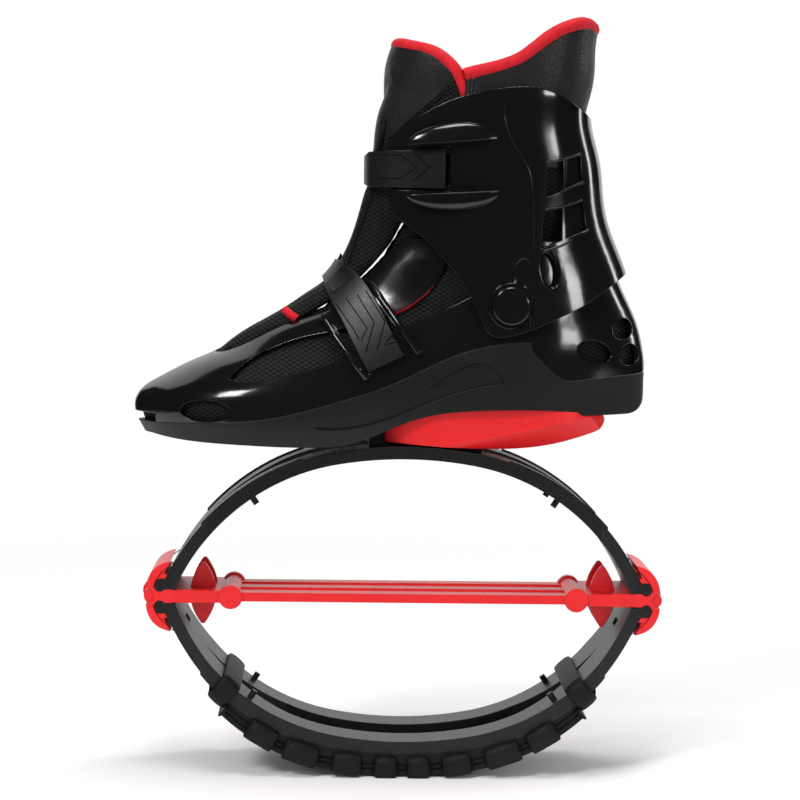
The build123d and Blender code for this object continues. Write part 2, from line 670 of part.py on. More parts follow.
rib_skin = form(shell_rows, -rib_height) - shell_hollow
for first, last in (((0.363, 0.306), (0.453, 0.166)), ((0.456, 0.372), (0.553, 0.224))):
    shell = shell + (bar_region(first, last, rib_half_width) & rib_skin)
pivot_bore = pin_y(hinge_x, hinge_z, hinge_radius, -side_reach, side_reach)
shell = biggest(shell - pivot_bore)

# Cuff
cuff_region = side_face(
    [(0.487, 0.712), (0.506, 0.740), (0.550, 0.779), (0.612, 0.815), (0.691, 0.838), (0.770, 0.841), (0.822, 0.819),
     (0.883, 0.774)],
    [(0.883, 0.774), (0.960, 0.770)], [(0.960, 0.770), (1.040, 0.440)], [(1.040, 0.440), (0.962, 0.415)],
    [(0.962, 0.415), (0.919, 0.383), (0.865, 0.340), (0.814, 0.308), (0.764, 0.281), (0.713, 0.263)],
    [(0.713, 0.263), (0.680, 0.275), (0.665, 0.314), (0.647, 0.356), (0.629, 0.393), (0.598, 0.438), (0.543, 0.505),
     (0.521, 0.524), (0.495, 0.544)],
    [(0.495, 0.544), (0.487, 0.712)])
cuff_strap_rows = rows_from([
    (0.520, 0.446, 0.935, 0.870, 0.965, 0.800),
    (0.620, 0.446, 0.918, 0.871, 0.968, 0.820),
    (0.720, 0.447, 0.903, 0.876, 0.978, 0.840),
    (0.790, 0.449, 0.893, 0.882, 0.990, 0.855),
])
strap_thickness = 2.6
strap_seat = strap_thickness + seat_gap
strap_near = chain([(0.430, 0.626), (0.450, 0.610), (0.594, 0.606), (0.594, 0.698), (0.450, 0.691), (0.430, 0.668)])
recess_near = chain([(0.420, 0.604), (0.606, 0.600), (0.606, 0.704), (0.420, 0.697)])
recess_far = chain([(0.420, 0.590), (0.790, 0.590), (0.790, 0.712), (0.420, 0.708)])
strap_solid = form(cuff_strap_rows, 0, blunt_nose) - form(cuff_strap_rows, strap_thickness, blunt_nose)
strap_seat_form = form(cuff_strap_rows, strap_seat, blunt_nose)
recess = (half_slab(recess_near, -1) + half_slab(recess_far, 1)) - strap_seat_form
cuff = (cuff_form & slab(cuff_region)) - cuff_hollow - recess
lid_reach = 3.6
lid_half_length = 28.0
lid_core_y = 46.6
lid_depth = 5.2


def blob(pair, y, half_length, depth, half_height, tilt):
    middle = side_point(pair)
    ball = scale(Sphere(1), by=(half_length, depth, half_height))
    return ball.moved(Location((middle.X, y, middle.Z), (0, -tilt, 0)))


lid_cover = cuff_form - cuff_hollow
for pair, half_height, tilt, way in (((0.612, 0.715), 11.0, 5.0, 1), ((0.612, 0.597), 10.0, 3.0, -1)):
    lid = blob(pair, -lid_core_y, lid_half_length, lid_depth, half_height, tilt)
    middle = side_point(pair)
    keep = Box(4 * lid_half_length, 4 * lid_half_length, 2 * lid_half_length, align=(Align.CENTER, Align.CENTER, Align.MIN))
    if way < 0:
        keep = Box(4 * lid_half_length, 4 * lid_half_length, 2 * lid_half_length,
                   align=(Align.CENTER, Align.CENTER, Align.MAX))
    lid = lid & keep.moved(Location((middle.X, -lid_core_y, middle.Z), (0, -tilt, 0)))
    cuff = cuff + (lid - cuff_hollow)
slot_shares = ((0.596, 0.614), (0.604, 0.690))
slot_low, slot_high = side_point(slot_shares[0]), side_point(slot_shares[1])
cuff = cuff - plain_box((slot_low.X, -side_reach, slot_low.Z), (slot_high.X, 0, slot_high.Z))
dent_depth = 2.6
for pair, y, half_length, half_height, tilt in (((0.795, 0.412), -47.4, 7.2, 16.5, 6.0),
                                                ((0.742, 0.408), -50.2, 6.0, 11.5, -12.0)):
    cuff = cuff - blob(pair, y, half_length, dent_depth, half_height, tilt)
pane_split_share = 0.823
pane_depth = 1.5
pane_skin = cuff_form - form(cuff_rows, pane_depth, blunt_nose)
split_x = side_point((pane_split_share, 0)).X
open_side = plain_box((-boot_length, -side_reach, 0), (split_x - pane_bar_half, side_reach, 2 * boot_height))
shut_side = plain_box((split_x + pane_bar_half, -side_reach, 0), (boot_length, side_reach, 2 * boot_height))
pane_cutters = []
for pane in ([(0.789, 0.669), (0.854, 0.688), (0.858, 0.626), (0.788, 0.589)],
             [(0.785, 0.556), (0.859, 0.584), (0.869, 0.515), (0.779, 0.470)]):
    opening = slab(chain(pane))
    pane_cutters += [opening & open_side, (opening & shut_side) & pane_skin]
cuff = cuff - pane_cutters
cuff_seat = pin_y(hinge_x, hinge_z, hinge_seat_radius, -hinge_cuff_outer, hinge_cuff_outer)
seat_core = plain_box((-boot_length, -hinge_cuff_face, 0), (boot_length, hinge_cuff_face, 2 * boot_height))
cuff = cuff + (cuff_seat - seat_core)
cuff -= pin_y(hinge_x, hinge_z, hinge_seat_radius + 4 * seat_gap, -hinge_cuff_face, hinge_cuff_face)
cuff -= pin_y(hinge_x, hinge_z, hinge_radius + hinge_gap, -side_reach, side_reach)
cuff -= pin_y(hinge_x, hinge_z, hinge_seat_radius, -side_reach, -hinge_cuff_outer)
cuff -= pin_y(hinge_x, hinge_z, hinge_seat_radius, hinge_cuff_outer, side_reach)
cuff = biggest(cuff)

# Ankle rivets: cap outside the cuff, flange inside the shell
hinge_inner_face = hinge_shell_face - 2.2 * shell_wall
rivet = pin_y(hinge_x, hinge_z, hinge_cap_radius, -hinge_cuff_outer - seat_gap - hinge_cap_thickness,
              -hinge_cuff_outer - seat_gap)
rivet = fillet(rivet.edges().sort_by(Axis.Y)[0], hinge_cap_thickness * 0.6)
rivet = rivet + pin_y(hinge_x, hinge_z, hinge_radius, -hinge_cuff_outer - hinge_cap_thickness, -hinge_inner_face)
save(rivet, "hinge_rivet_near")
save(mirror_y(rivet), "hinge_rivet_far")
rivet_hole = pin_y(hinge_x, hinge_z, hinge_radius + 2 * seat_gap, -side_reach, -hinge_inner_face + seat_gap)
rivet_hole = rivet_hole + mirror_y(rivet_hole)

# Soft inner boot and tongue
cuff_space = (form(cuff_rows, -lid_reach, blunt_nose) - form(cuff_rows, cuff_wall + liner_gap, blunt_nose)) & slab(
    cuff_region)
seat_space = pin_y(hinge_x, hinge_z, hinge_seat_radius + 5 * seat_gap, hinge_inner_face, side_reach)
seat_space = seat_space + mirror_y(seat_space)
split_run = [(0.165, 0.186), (0.245, 0.230), (0.330, 0.288), (0.420, 0.362), (0.500, 0.470), (0.560, 0.600),
             (0.610, 0.720), (0.637, 0.800), (0.642, 0.886)]
collar_run = [(0.642, 0.886), (0.697, 0.902), (0.735, 0.920), (0.764, 0.945), (0.793, 0.972), (0.826, 0.993),
              (0.866, 1.006), (0.905, 0.998)]
boot_region = side_face(
    split_run, collar_run, [collar_run[-1], (behind_share, 0.990)], [(behind_share, 0.990), (behind_share, -0.050)],
    [(behind_share, -0.050), (ahead_share, -0.050)], [(ahead_share, -0.050), (ahead_share, 0.170)],
    [(ahead_share, 0.170), split_run[0]])
tongue_split_run = [(0.156, 0.192), (0.238, 0.238), (0.322, 0.295), (0.414, 0.369), (0.494, 0.477), (0.553, 0.603),
                    (0.601, 0.722), (0.627, 0.790), (0.631, 0.824)]
tongue_top_run = [(0.631, 0.824), (0.607, 0.897), (0.555, 0.941), (0.450, 0.962)]
tongue_region = side_face(
    tongue_split_run, tongue_top_run, [tongue_top_run[-1], (ahead_share, 0.962)], [(ahead_share, 0.962), (ahead_share, 0.192)],
    [(ahead_share, 0.192), tongue_split_run[0]])
insole_lift = liner_gap + 4.2
insole_thickness = 2.6
liner_body = (liner_form & slab(above_floor(liner_gap))) - (liner_hollow & slab(above_floor(insole_lift)))
tongue_low_z = side_point((0, 0.206)).Z
tongue_above = plain_box((-boot_length, -side_reach, tongue_low_z), (boot_length, side_reach, 2 * boot_height))
tongue_bulge = (tongue_form - liner_form) & tongue_above
strap_press = (half_slab(recess_near, -1) + half_slab(recess_far, 1)) - strap_seat_form
liner_cutters = cuff_space + seat_space
inner_boot = biggest((liner_body & slab(boot_region)) - liner_cutters)
save(inner_boot, "inner_boot")
tongue = (liner_body & slab(tongue_region)) + (tongue_bulge & slab(tongue_region))
tongue = tongue - liner_cutters - strap_press
tongue = biggest(tongue)
insole = form(liner_rows, liner_thickness + liner_gap) & slab(above_floor(insole_lift + seat_gap))
insole = biggest(insole - slab(above_floor(insole_lift + seat_gap + insole_thickness)))
save(insole, "insole")

# Instep strap, bridging the tongue and riveted near the sole
instep_rows = rows_from([
    (0.130, 0.030, 1.010, 1.045, 0.935, 0.820),
    (0.189, 0.098, 1.012, 0.975, 0.955, 0.840),
    (0.224, 0.162, 1.010, 0.915, 0.945, 0.840),
    (0.278, 0.232, 1.000, 0.840, 0.926, 0.810),
    (0.335, 0.300, 0.981, 0.775, 0.916, 0.760),
    (0.394, 0.362, 0.958, 0.755, 0.907, 0.740),
    (0.440, 0.390, 0.942, 0.750, 0.899, 0.735),
    (0.488, 0.408, 0.925, 0.750, 0.890, 0.730),
])
instep_region = side_face(
    [(0.364, 0.391), (0.376, 0.352), (0.397, 0.308), (0.442, 0.205), (0.454, 0.179)], [(0.454, 0.179), (0.522, 0.219)],
    [(0.522, 0.219), (0.490, 0.290), (0.457, 0.364), (0.404, 0.430)], [(0.404, 0.430), (0.330, 0.460)],
    [(0.330, 0.460), (0.364, 0.391)])
instep_solid = form(instep_rows) - form(instep_rows, strap_thickness)
instep_tail = bar_region((0.358, 0.470), (0.509, 0.165), 8.2)
over_top_y = 10.0
near_span = plain_box((-boot_length, -side_reach, 0), (boot_length, over_top_y, 2 * boot_height))
far_span = plain_box((-boot_length, over_top_y, 0), (boot_length, side_reach, 2 * boot_height))
instep_strap = instep_solid & ((slab(instep_region) & near_span) + (instep_tail & far_span))
strap_rivet_radius = 2.5
instep_rivet_place = side_point((0.480, 0.212))
instep_rivet_pin = pin_y(instep_rivet_place.X, instep_rivet_place.Z, strap_rivet_radius, -side_reach, 0)
rivet_cover = 0.8
instep_rivet = (instep_rivet_pin & form(instep_rows, rivet_cover)) - shell_hollow
instep_strap = instep_strap - instep_rivet
instep_strap = biggest(instep_strap - form(shell_rows, -seat_gap) - form(tongue_rows, -seat_gap, blunt_nose))
save(instep_rivet, "instep_strap_rivet")
shell = biggest(shell - instep_rivet_pin)
save(shell, "lower_shell")
save(tongue, "tongue")

# Cuff strap: near end riveted in the recess, far end through the buckle
cuff_tail = bar_region((0.430, 0.645), (0.745, 0.651), 8.2)
cuff_strap = strap_solid & ((half_slab(strap_near, -1) + (slab(strap_near) & near_span)) + (cuff_tail & far_span))
cuff_rivet_place = side_point((0.572, 0.651))
cuff_rivet_pin = pin_y(cuff_rivet_place.X, cuff_rivet_place.Z, strap_rivet_radius, -side_reach, 0)
cuff_rivet = (cuff_rivet_pin & form(cuff_strap_rows, rivet_cover, blunt_nose)) - cuff_hollow
cuff_strap = biggest(cuff_strap - cuff_rivet)
cuff = biggest(cuff - cuff_rivet_pin)
save(cuff_rivet, "cuff_strap_rivet")
save(cuff_strap, "cuff_strap")
save(cuff, "cuff_shell")

# Ratchet buckles on the far side, each drawn flat: u along the strap, v across it, w away from the boot
base_half_length = 15.0
ear_inner = 10.2
ear_thickness = 2.3
ear_low_u, ear_high_u = -12.0, 12.0
ear_height = 8.6
plate_top = 1.2
buckle_root = 14.0
lever_pin_u, lever_pin_w = 6.5, 5.6
pawl_pin_u, pawl_pin_w = -8.0, 4.6
buckle_pin_radius = 1.5
lever_hub_radius = 3.2
lever_reach = 33.0
lever_half_width = 9.8
lever_round = 1.4
pawl_reach = 12.0
pawl_back = 2.3
pawl_nose = 1.0
pawl_nose_rise = 1.6
strap_channel_half = 8.6


def flat_polygon(points, low_v, high_v):
    # Points are (u, w); the polygon is drawn in the u-w plane and given its width along v
    face = Face(Wire.make_polygon([Vector(u, low_v, w) for u, w in points], close=True))
    return extrude(face, amount=high_v - low_v, dir=(0, 1, 0))


def flat_pin(u, w, radius, half):
    return Cylinder(radius, 2 * half, rotation=(90, 0, 0)).moved(Location((u, 0, w)))


def buckle_parts():
    plate = plain_box((-base_half_length, -ear_inner - ear_thickness, -buckle_root),
                      (base_half_length, ear_inner + ear_thickness, plate_top))
    ears = None
    for side in (-1, 1):
        low_v = ear_inner if side > 0 else -ear_inner - ear_thickness
        ear = flat_polygon([(ear_low_u, 0), (ear_high_u, 0), (ear_high_u, ear_height * 0.6), (lever_pin_u + 2, ear_height),
                            (pawl_pin_u - 2, ear_height), (ear_low_u, ear_height * 0.6)], low_v, low_v + ear_thickness)
        ears = ear if ears is None else ears + ear
    base = plate + ears
    pins = [flat_pin(lever_pin_u, lever_pin_w, buckle_pin_radius, ear_inner + ear_thickness),
            flat_pin(pawl_pin_u, pawl_pin_w, buckle_pin_radius, ear_inner + ear_thickness)]
    for pin in pins:
        base -= pin
    lever = flat_polygon([(lever_pin_u, lever_pin_w - lever_hub_radius * 0.8), (lever_reach * 0.8, 2 * plate_top),
                          (lever_reach, 3 * plate_top), (lever_reach * 0.9, 5.2 * plate_top),
                          (lever_pin_u, lever_pin_w + lever_hub_radius)], -lever_half_width, lever_half_width)
    lever = fillet(lever.edges().filter_by(Axis.Y).sort_by(Axis.X)[-3:], lever_round)
    lever = lever + flat_pin(lever_pin_u, lever_pin_w, lever_hub_radius, lever_half_width)
    lever -= flat_pin(lever_pin_u, lever_pin_w, buckle_pin_radius + hinge_gap, ear_inner)
    pawl = flat_polygon([(pawl_pin_u + pawl_back, pawl_pin_w + pawl_nose_rise), (pawl_pin_u + pawl_back, pawl_pin_w - pawl_nose_rise),
                         (pawl_pin_u + pawl_nose, plate_top + seat_gap), (pawl_pin_u - pawl_nose / 2, plate_top + 2 * seat_gap),
                         (pawl_pin_u - pawl_reach * 0.7, pawl_pin_w - 1.0), (pawl_pin_u - pawl_reach, pawl_pin_w + 1.6),
                         (pawl_pin_u - pawl_reach * 0.9, pawl_pin_w + 3.4), (pawl_pin_u, pawl_pin_w + 3.0)],
                        -lever_half_width, lever_half_width)
    pawl -= flat_pin(pawl_pin_u, pawl_pin_w, buckle_pin_radius + hinge_gap, ear_inner)
    return base, lever, pawl, pins


def place(shape, frame):
    return shape.moved(frame.location)


instep_frame = Plane(origin=(-18.3, 46.6, 262.0), x_dir=(0.50, 0.24, -0.83), z_dir=(-0.04, 0.96, 0.27))
cuff_frame = Plane(origin=(35.0, 48.2, 364.6), x_dir=(0.99, 0.14, 0.02), z_dir=(-0.14, 0.99, 0))
base, lever, pawl, pins = buckle_parts()
instep_base = place(base, instep_frame) - shell_form - (
    place(plain_box((-2 * base_half_length, -strap_channel_half, -buckle_root), (2 * base_half_length, strap_channel_half, 2 * plate_top)),
          instep_frame) & (form(instep_rows, -seat_gap) - form(instep_rows, strap_seat)))
save(biggest(instep_base), "instep_buckle_base")
cuff_base = place(base, cuff_frame) - strap_seat_form - (
    place(plain_box((-2 * base_half_length, -strap_channel_half, -buckle_root), (2 * base_half_length, strap_channel_half, 2 * plate_top)),
          cuff_frame) & (form(cuff_strap_rows, -seat_gap, blunt_nose) - form(cuff_strap_rows, strap_seat, blunt_nose)))
save(biggest(cuff_base), "cuff_buckle_base")
for name, frame in (("instep", instep_frame), ("cuff", cuff_frame)):
    save(place(lever, frame), f"{name}_buckle_lever")
    save(place(pawl, frame), f"{name}_buckle_pawl")
    save(Compound(children=[place(pin, frame) for pin in pins]), f"{name}_buckle_pins")
save(instep_strap, "instep_strap")

# Red fairing between the upper arch and the heel half of the sole
fairing_rows = rows_from([
    (-0.015, 0.474, 0.930, 0.76, 0.78, 0.72),
    (0.040, 0.474, 0.930, 0.76, 0.78, 0.72),
    (0.110, 0.474, 0.930, 0.76, 0.78, 0.72),
])
fairing_region = side_face(
    [(0.857, 0.094), (0.769, 0.100), (0.683, 0.098), (0.581, 0.085), (0.520, 0.062), (0.484, 0.044)],
    [(0.484, 0.044), (0.478, 0.022)], [(0.478, 0.022), (0.488, 0.009)],
    [(0.488, 0.009), (0.547, 0.005), (0.614, 0.000), (0.745, -0.004), (0.828, 0.010), (0.884, 0.031), (0.912, 0.050),
     (0.918, 0.066)],
    [(0.918, 0.066), (0.914, 0.076)], [(0.914, 0.076), (0.868, 0.079)], [(0.868, 0.079), (0.857, 0.094)])
fairing_wall = 3.0
facet_shares = ((0.606, 0.002), (0.886, 0.074))
facet_half_widths = (0.765, 0.640)
facet_height, facet_slant = 40.0, 38.0
facet_low, facet_high = side_point(facet_shares[0]), side_point(facet_shares[1])
facet_run = Vector(facet_high.X - facet_low.X, (facet_half_widths[0] - facet_half_widths[1]) * boot_half_width,
                   facet_high.Z - facet_low.Z)
facet_y = -facet_half_widths[0] * boot_half_width
facet_inner_y = facet_y + facet_height * math.tan(math.radians(facet_slant))
facet_face = Face(Wire.make_polygon([
    Vector(facet_low.X, facet_y, facet_low.Z), Vector(facet_low.X, -side_reach, facet_low.Z),
    Vector(facet_low.X, -side_reach, facet_low.Z - facet_height),
    Vector(facet_low.X, facet_inner_y, facet_low.Z - facet_height)], close=True))
facet_cut = extrude(facet_face, amount=1.4 * facet_run.length, dir=tuple(facet_run.normalized()))
fairing = (form(fairing_rows, 0, blunt_nose) & slab(fairing_region)) - facet_cut - mirror_y(facet_cut)
hollow_region = side_face(
    [(0.849, 0.120), (0.500, 0.120)], [(0.500, 0.120), (0.500, 0.022)],
    [(0.500, 0.022), (0.560, 0.018), (0.640, 0.014), (0.745, 0.012), (0.825, 0.026), (0.866, 0.048)],
    [(0.866, 0.048), (0.849, 0.120)])
inner_cut = facet_cut.moved(Location((0, fairing_wall, fairing_wall)))
fairing_hollow = (form(fairing_rows, fairing_wall, blunt_nose) & slab(hollow_region)) - inner_cut - mirror_y(inner_cut)
fairing = fairing - fairing_hollow - slab(dome(-seat_gap))
boss_space = plain_box((boss_low_x - seat_gap, -boss_half_width - seat_gap, oval_mid_z),
                       (boss_high_x + seat_gap, boss_half_width + seat_gap, 2 * boot_height))
fairing = biggest(fairing - boss_space - slab(sole_region))
save(fairing, "sole_fairing")

# Red piping along the collar and the tongue's edge
piping_height = 0.011
piping_proud = 1.2
piping_skin = form(liner_rows, -piping_proud) - liner_form
piping_low = [(x, z - piping_height) for x, z in collar_run]
collar_strip = side_face(
    collar_run, [collar_run[-1], piping_low[-1]], list(reversed(piping_low)), [piping_low[0], collar_run[0]])
collar_trim = piping_skin & slab(collar_strip)
save(collar_trim, "collar_piping")
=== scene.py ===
import bpy
import bmesh
import math
import numpy as np
from mathutils import Matrix, Vector
from mathutils.bvhtree import BVHTree
from mathutils.kdtree import KDTree


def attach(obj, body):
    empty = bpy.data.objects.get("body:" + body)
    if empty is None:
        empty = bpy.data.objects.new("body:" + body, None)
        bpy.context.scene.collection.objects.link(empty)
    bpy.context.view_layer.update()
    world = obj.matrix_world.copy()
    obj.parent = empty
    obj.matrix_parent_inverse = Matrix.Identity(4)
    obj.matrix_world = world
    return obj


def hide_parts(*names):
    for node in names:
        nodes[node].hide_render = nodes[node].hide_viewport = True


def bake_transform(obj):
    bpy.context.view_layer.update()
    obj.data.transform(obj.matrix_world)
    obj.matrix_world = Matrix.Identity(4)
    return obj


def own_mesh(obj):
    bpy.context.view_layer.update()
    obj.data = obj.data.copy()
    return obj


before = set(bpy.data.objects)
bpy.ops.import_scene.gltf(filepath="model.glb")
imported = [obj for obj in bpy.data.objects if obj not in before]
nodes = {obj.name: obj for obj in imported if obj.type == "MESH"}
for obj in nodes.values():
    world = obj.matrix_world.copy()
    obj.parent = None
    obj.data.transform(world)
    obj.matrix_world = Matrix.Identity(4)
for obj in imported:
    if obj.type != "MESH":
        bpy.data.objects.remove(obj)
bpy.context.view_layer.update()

# Boot side view in shares, as the solids have them
BOOT_LENGTH = 0.310
BOOT_HEIGHT = 0.254
TOE_X = -0.164
BASE_Z = 0.200


def at(pair):
    return TOE_X + pair[0] * BOOT_LENGTH, BASE_Z + pair[1] * BOOT_HEIGHT


# Materials
class Nodes:
    def __init__(self, name, **values):
        self.material = bpy.data.materials.new(name)
        self.material.use_nodes = True
        self.tree = self.material.node_tree
        self.shader = self.tree.nodes["Principled BSDF"]
        self.coords = self.tree.nodes.new("ShaderNodeTexCoord")
        for key, value in values.items():
            self.shader.inputs[key.replace("_", " ")].default_value = value

    def add(self, kind, **values):
        node = self.tree.nodes.new(kind)
        for key, value in values.items():
            setattr(node, key, value)
        return node

    def link(self, start, end):
        self.tree.links.new(start, end)

    def noise(self, scale, detail=3.0, rough=0.55):
        node = self.add("ShaderNodeTexNoise")
        node.inputs["Scale"].default_value = scale
        node.inputs["Detail"].default_value = detail
        node.inputs["Roughness"].default_value = rough
        self.link(self.coords.outputs["Object"], node.inputs["Vector"])
        return node.outputs["Fac"]

    def voronoi(self, scale, feature="F1"):
        node = self.add("ShaderNodeTexVoronoi", feature=feature)
        node.inputs["Scale"].default_value = scale
        self.link(self.coords.outputs["Object"], node.inputs["Vector"])
        return node.outputs["Distance"]

    def wave(self, scale, turn, distortion=0.0):
        mapping = self.add("ShaderNodeMapping")
        mapping.inputs["Rotation"].default_value = turn
        self.link(self.coords.outputs["Object"], mapping.inputs["Vector"])
        node = self.add("ShaderNodeTexWave", wave_type="BANDS", bands_direction="X")
        node.inputs["Scale"].default_value = scale
        node.inputs["Distortion"].default_value = distortion
        self.link(mapping.outputs["Vector"], node.inputs["Vector"])
        return node.outputs["Fac"]

    def math(self, how, first, second):
        node = self.add("ShaderNodeMath", operation=how)
        for slot, value in ((0, first), (1, second)):
            if isinstance(value, (int, float)):
                node.inputs[slot].default_value = value
            else:
                self.link(value, node.inputs[slot])
        return node.outputs[0]

    def span(self, value, low, high, out_low, out_high):
        node = self.add("ShaderNodeMapRange")
        ends = {"From Min": low, "From Max": high, "To Min": out_low, "To Max": out_high}
        for slot, number in ends.items():
            node.inputs[slot].default_value = number
        self.link(value, node.inputs["Value"])
        return node.outputs["Result"]

    def colours(self, value, *stops):
        ramp = self.add("ShaderNodeValToRGB")
        elements = ramp.color_ramp.elements
        while len(elements) < len(stops):
            elements.new(0.5)
        for element, (place, colour) in zip(elements, stops):
            element.position = place
            element.color = (*colour, 1)
        self.link(value, ramp.inputs["Fac"])
        self.link(ramp.outputs["Color"], self.shader.inputs["Base Color"])
        return ramp.outputs["Color"]

    def roughness(self, value, low, high, out_low, out_high):
        self.link(self.span(value, low, high, out_low, out_high), self.shader.inputs["Roughness"])

    def bump(self, value, strength, distance, edge=0.0):
        node = self.add("ShaderNodeBump")
        node.inputs["Strength"].default_value = strength
        node.inputs["Distance"].default_value = distance
        self.link(value, node.inputs["Height"])
        if edge:
            rounded = self.add("ShaderNodeBevel", samples=6)
            rounded.inputs["Radius"].default_value = edge
            self.link(rounded.outputs["Normal"], node.inputs["Normal"])
        self.link(node.outputs["Normal"], self.shader.inputs["Normal"])


def grey(value):
    return value, value, value


def gloss_black():
    m = Nodes("gloss_shell_black", Specular_IOR_Level=0.5, Coat_Weight=0.10, Coat_Roughness=0.05)
    broad = m.noise(scale=9.0, detail=2.0)
    m.colours(broad, (0.3, (0.004, 0.004, 0.005)), (0.7, (0.007, 0.007, 0.008)))
    m.roughness(m.noise(scale=60.0, detail=4.0), low=0.3, high=0.7, out_low=0.10, out_high=0.17)
    m.bump(m.noise(scale=14.0, detail=1.0), strength=0.08, distance=0.0005, edge=0.0009)
    return m.material


def matte_grey():
    m = Nodes("sole_charcoal", Specular_IOR_Level=0.30)
    grain = m.noise(scale=900.0, detail=2.0)
    m.colours(m.noise(scale=12.0, detail=3.0), (0.3, grey(0.0065)), (0.7, grey(0.0095)))
    m.roughness(grain, low=0.3, high=0.7, out_low=0.42, out_high=0.56)
    m.bump(grain, strength=0.16, distance=0.0002, edge=0.0010)
    return m.material


def red_plastic():
    m = Nodes("red_moulding", Specular_IOR_Level=0.5)
    grain = m.noise(scale=500.0, detail=2.0)
    m.colours(m.noise(scale=15.0, detail=3.0), (0.3, (0.74, 0.009, 0.012)), (0.7, (0.82, 0.013, 0.017)))
    m.roughness(grain, low=0.3, high=0.7, out_low=0.30, out_high=0.42)
    m.bump(grain, strength=0.06, distance=0.0002, edge=0.0008)
    return m.material


def arch_black():
    m = Nodes("arch_composite", Specular_IOR_Level=0.42)
    fleck = m.voronoi(scale=1000.0)
    weave = m.noise(scale=1400.0, detail=3.0)
    m.colours(fleck, (0.1, grey(0.003)), (0.6, grey(0.007)))
    m.roughness(weave, low=0.3, high=0.7, out_low=0.30, out_high=0.46)
    m.bump(m.math("ADD", fleck, weave), strength=0.60, distance=0.0003, edge=0.0009)
    return m.material


def rubber():
    m = Nodes("tread_rubber", Specular_IOR_Level=0.25)
    grain = m.noise(scale=650.0, detail=4.0)
    m.colours(m.noise(scale=30.0, detail=4.0), (0.3, grey(0.0035)), (0.7, grey(0.0060)))
    m.roughness(grain, low=0.3, high=0.7, out_low=0.50, out_high=0.66)
    m.bump(grain, strength=0.25, distance=0.0003, edge=0.0010)
    return m.material


def strap_black():
    m = Nodes("strap_black", Specular_IOR_Level=0.5)
    grain = m.noise(scale=800.0, detail=3.0)
    m.colours(m.noise(scale=20.0, detail=3.0), (0.3, grey(0.0055)), (0.7, grey(0.0090)))
    m.roughness(grain, low=0.3, high=0.7, out_low=0.34, out_high=0.46)
    m.bump(grain, strength=0.14, distance=0.0002, edge=0.0007)
    return m.material


def steel():
    m = Nodes("zinc_steel", Metallic=1.0)
    grain = m.noise(scale=300.0, detail=4.0)
    m.colours(grain, (0.3, (0.45, 0.45, 0.46)), (0.7, (0.58, 0.58, 0.60)))
    m.roughness(grain, low=0.3, high=0.7, out_low=0.24, out_high=0.36)
    m.bump(grain, strength=0.06, distance=0.0002)
    return m.material


def leather():
    m = Nodes("collar_leather", Specular_IOR_Level=0.40)
    cells = m.voronoi(scale=620.0)
    folds = m.noise(scale=45.0, detail=3.0)
    m.colours(folds, (0.3, grey(0.0085)), (0.7, grey(0.0125)))
    m.roughness(cells, low=0.1, high=0.6, out_low=0.36, out_high=0.50)
    m.bump(m.math("ADD", m.math("MULTIPLY", cells, 0.35), folds), strength=0.30, distance=0.0010)
    return m.material


def net_fabric():
    m = Nodes("mesh_fabric", Specular_IOR_Level=0.15)
    first = m.wave(135.0, (0, math.radians(60), 0))
    second = m.wave(135.0, (0, math.radians(-60), 0))
    third = m.wave(135.0, (0, 0, 0))
    net = m.math("MULTIPLY", m.math("MULTIPLY", first, second), m.math("ADD", third, 0.35))
    m.colours(net, (0.05, grey(0.0110)), (0.5, grey(0.0015)))
    m.roughness(net, low=0.0, high=0.6, out_low=0.60, out_high=0.85)
    m.bump(m.math("SUBTRACT", 1.0, net), strength=0.9, distance=0.0007)
    return m.material


def ribbed_cloth():
    m = Nodes("tongue_cloth", Specular_IOR_Level=0.20)
    ribs = m.wave(190.0, (0, math.radians(35), 0), 0.3)
    fuzz = m.noise(scale=900.0, detail=3.0)
    m.colours(fuzz, (0.3, grey(0.004)), (0.7, grey(0.008)))
    m.roughness(ribs, low=0.0, high=1.0, out_low=0.62, out_high=0.82)
    m.bump(m.math("ADD", ribs, fuzz), strength=0.5, distance=0.0004)
    return m.material


def red_piping():
    m = Nodes("red_piping_cloth", Specular_IOR_Level=0.20)
    rib = m.wave(260.0, (0, math.radians(20), math.radians(15)))
    m.colours(m.noise(scale=200.0, detail=3.0), (0.3, (0.50, 0.007, 0.014)), (0.7, (0.62, 0.010, 0.020)))
    m.roughness(rib, low=0.0, high=1.0, out_low=0.55, out_high=0.75)
    m.bump(rib, strength=0.4, distance=0.0003)
    return m.material


def foam_cloth():
    m = Nodes("insole_cloth", Specular_IOR_Level=0.3, Sheen_Weight=0.2)
    weave = m.math("MULTIPLY", m.wave(160.0, (0, 0, 0)), m.wave(160.0, (0, 0, math.radians(90))))
    m.colours(weave, (0.1, grey(0.05)), (0.9, grey(0.09)))
    m.roughness(weave, low=0.0, high=1.0, out_low=0.7, out_high=0.9)
    m.bump(weave, strength=0.4, distance=0.0003)
    return m.material


# Dark red for the grooves on the band's end caps: painted shade, far darker than the red moulding
def painted_groove_shade_red():
    m = Nodes("red_groove_painted_shade", Roughness=0.7, Specular_IOR_Level=0.1)
    m.colours(m.noise(scale=400.0), (0.3, (0.25, 0.003, 0.004)), (0.7, (0.32, 0.004, 0.006)))
    return m.material


# Near-black lines for the strap chevrons' grooves: painted shade, much darker than the strap's own black
def painted_groove_shade():
    m = Nodes("groove_shadow", Roughness=0.9, Specular_IOR_Level=0.05)
    m.colours(m.noise(scale=400.0), (0.3, grey(0.0008)), (0.7, grey(0.0016)))
    return m.material


GLOSS = gloss_black()
GREY = matte_grey()
RED = red_plastic()
ARCH = arch_black()
RUBBER = rubber()
STRAP = strap_black()
STEEL = steel()
LEATHER = leather()
NET = net_fabric()
CLOTH = ribbed_cloth()
PIPING = red_piping()
INSOLE = foam_cloth()
GROOVE_SHADE = painted_groove_shade()
RED_GROOVE_SHADE = painted_groove_shade_red()


def paint(obj, material):
    obj.data.materials.clear()
    obj.data.materials.append(material)


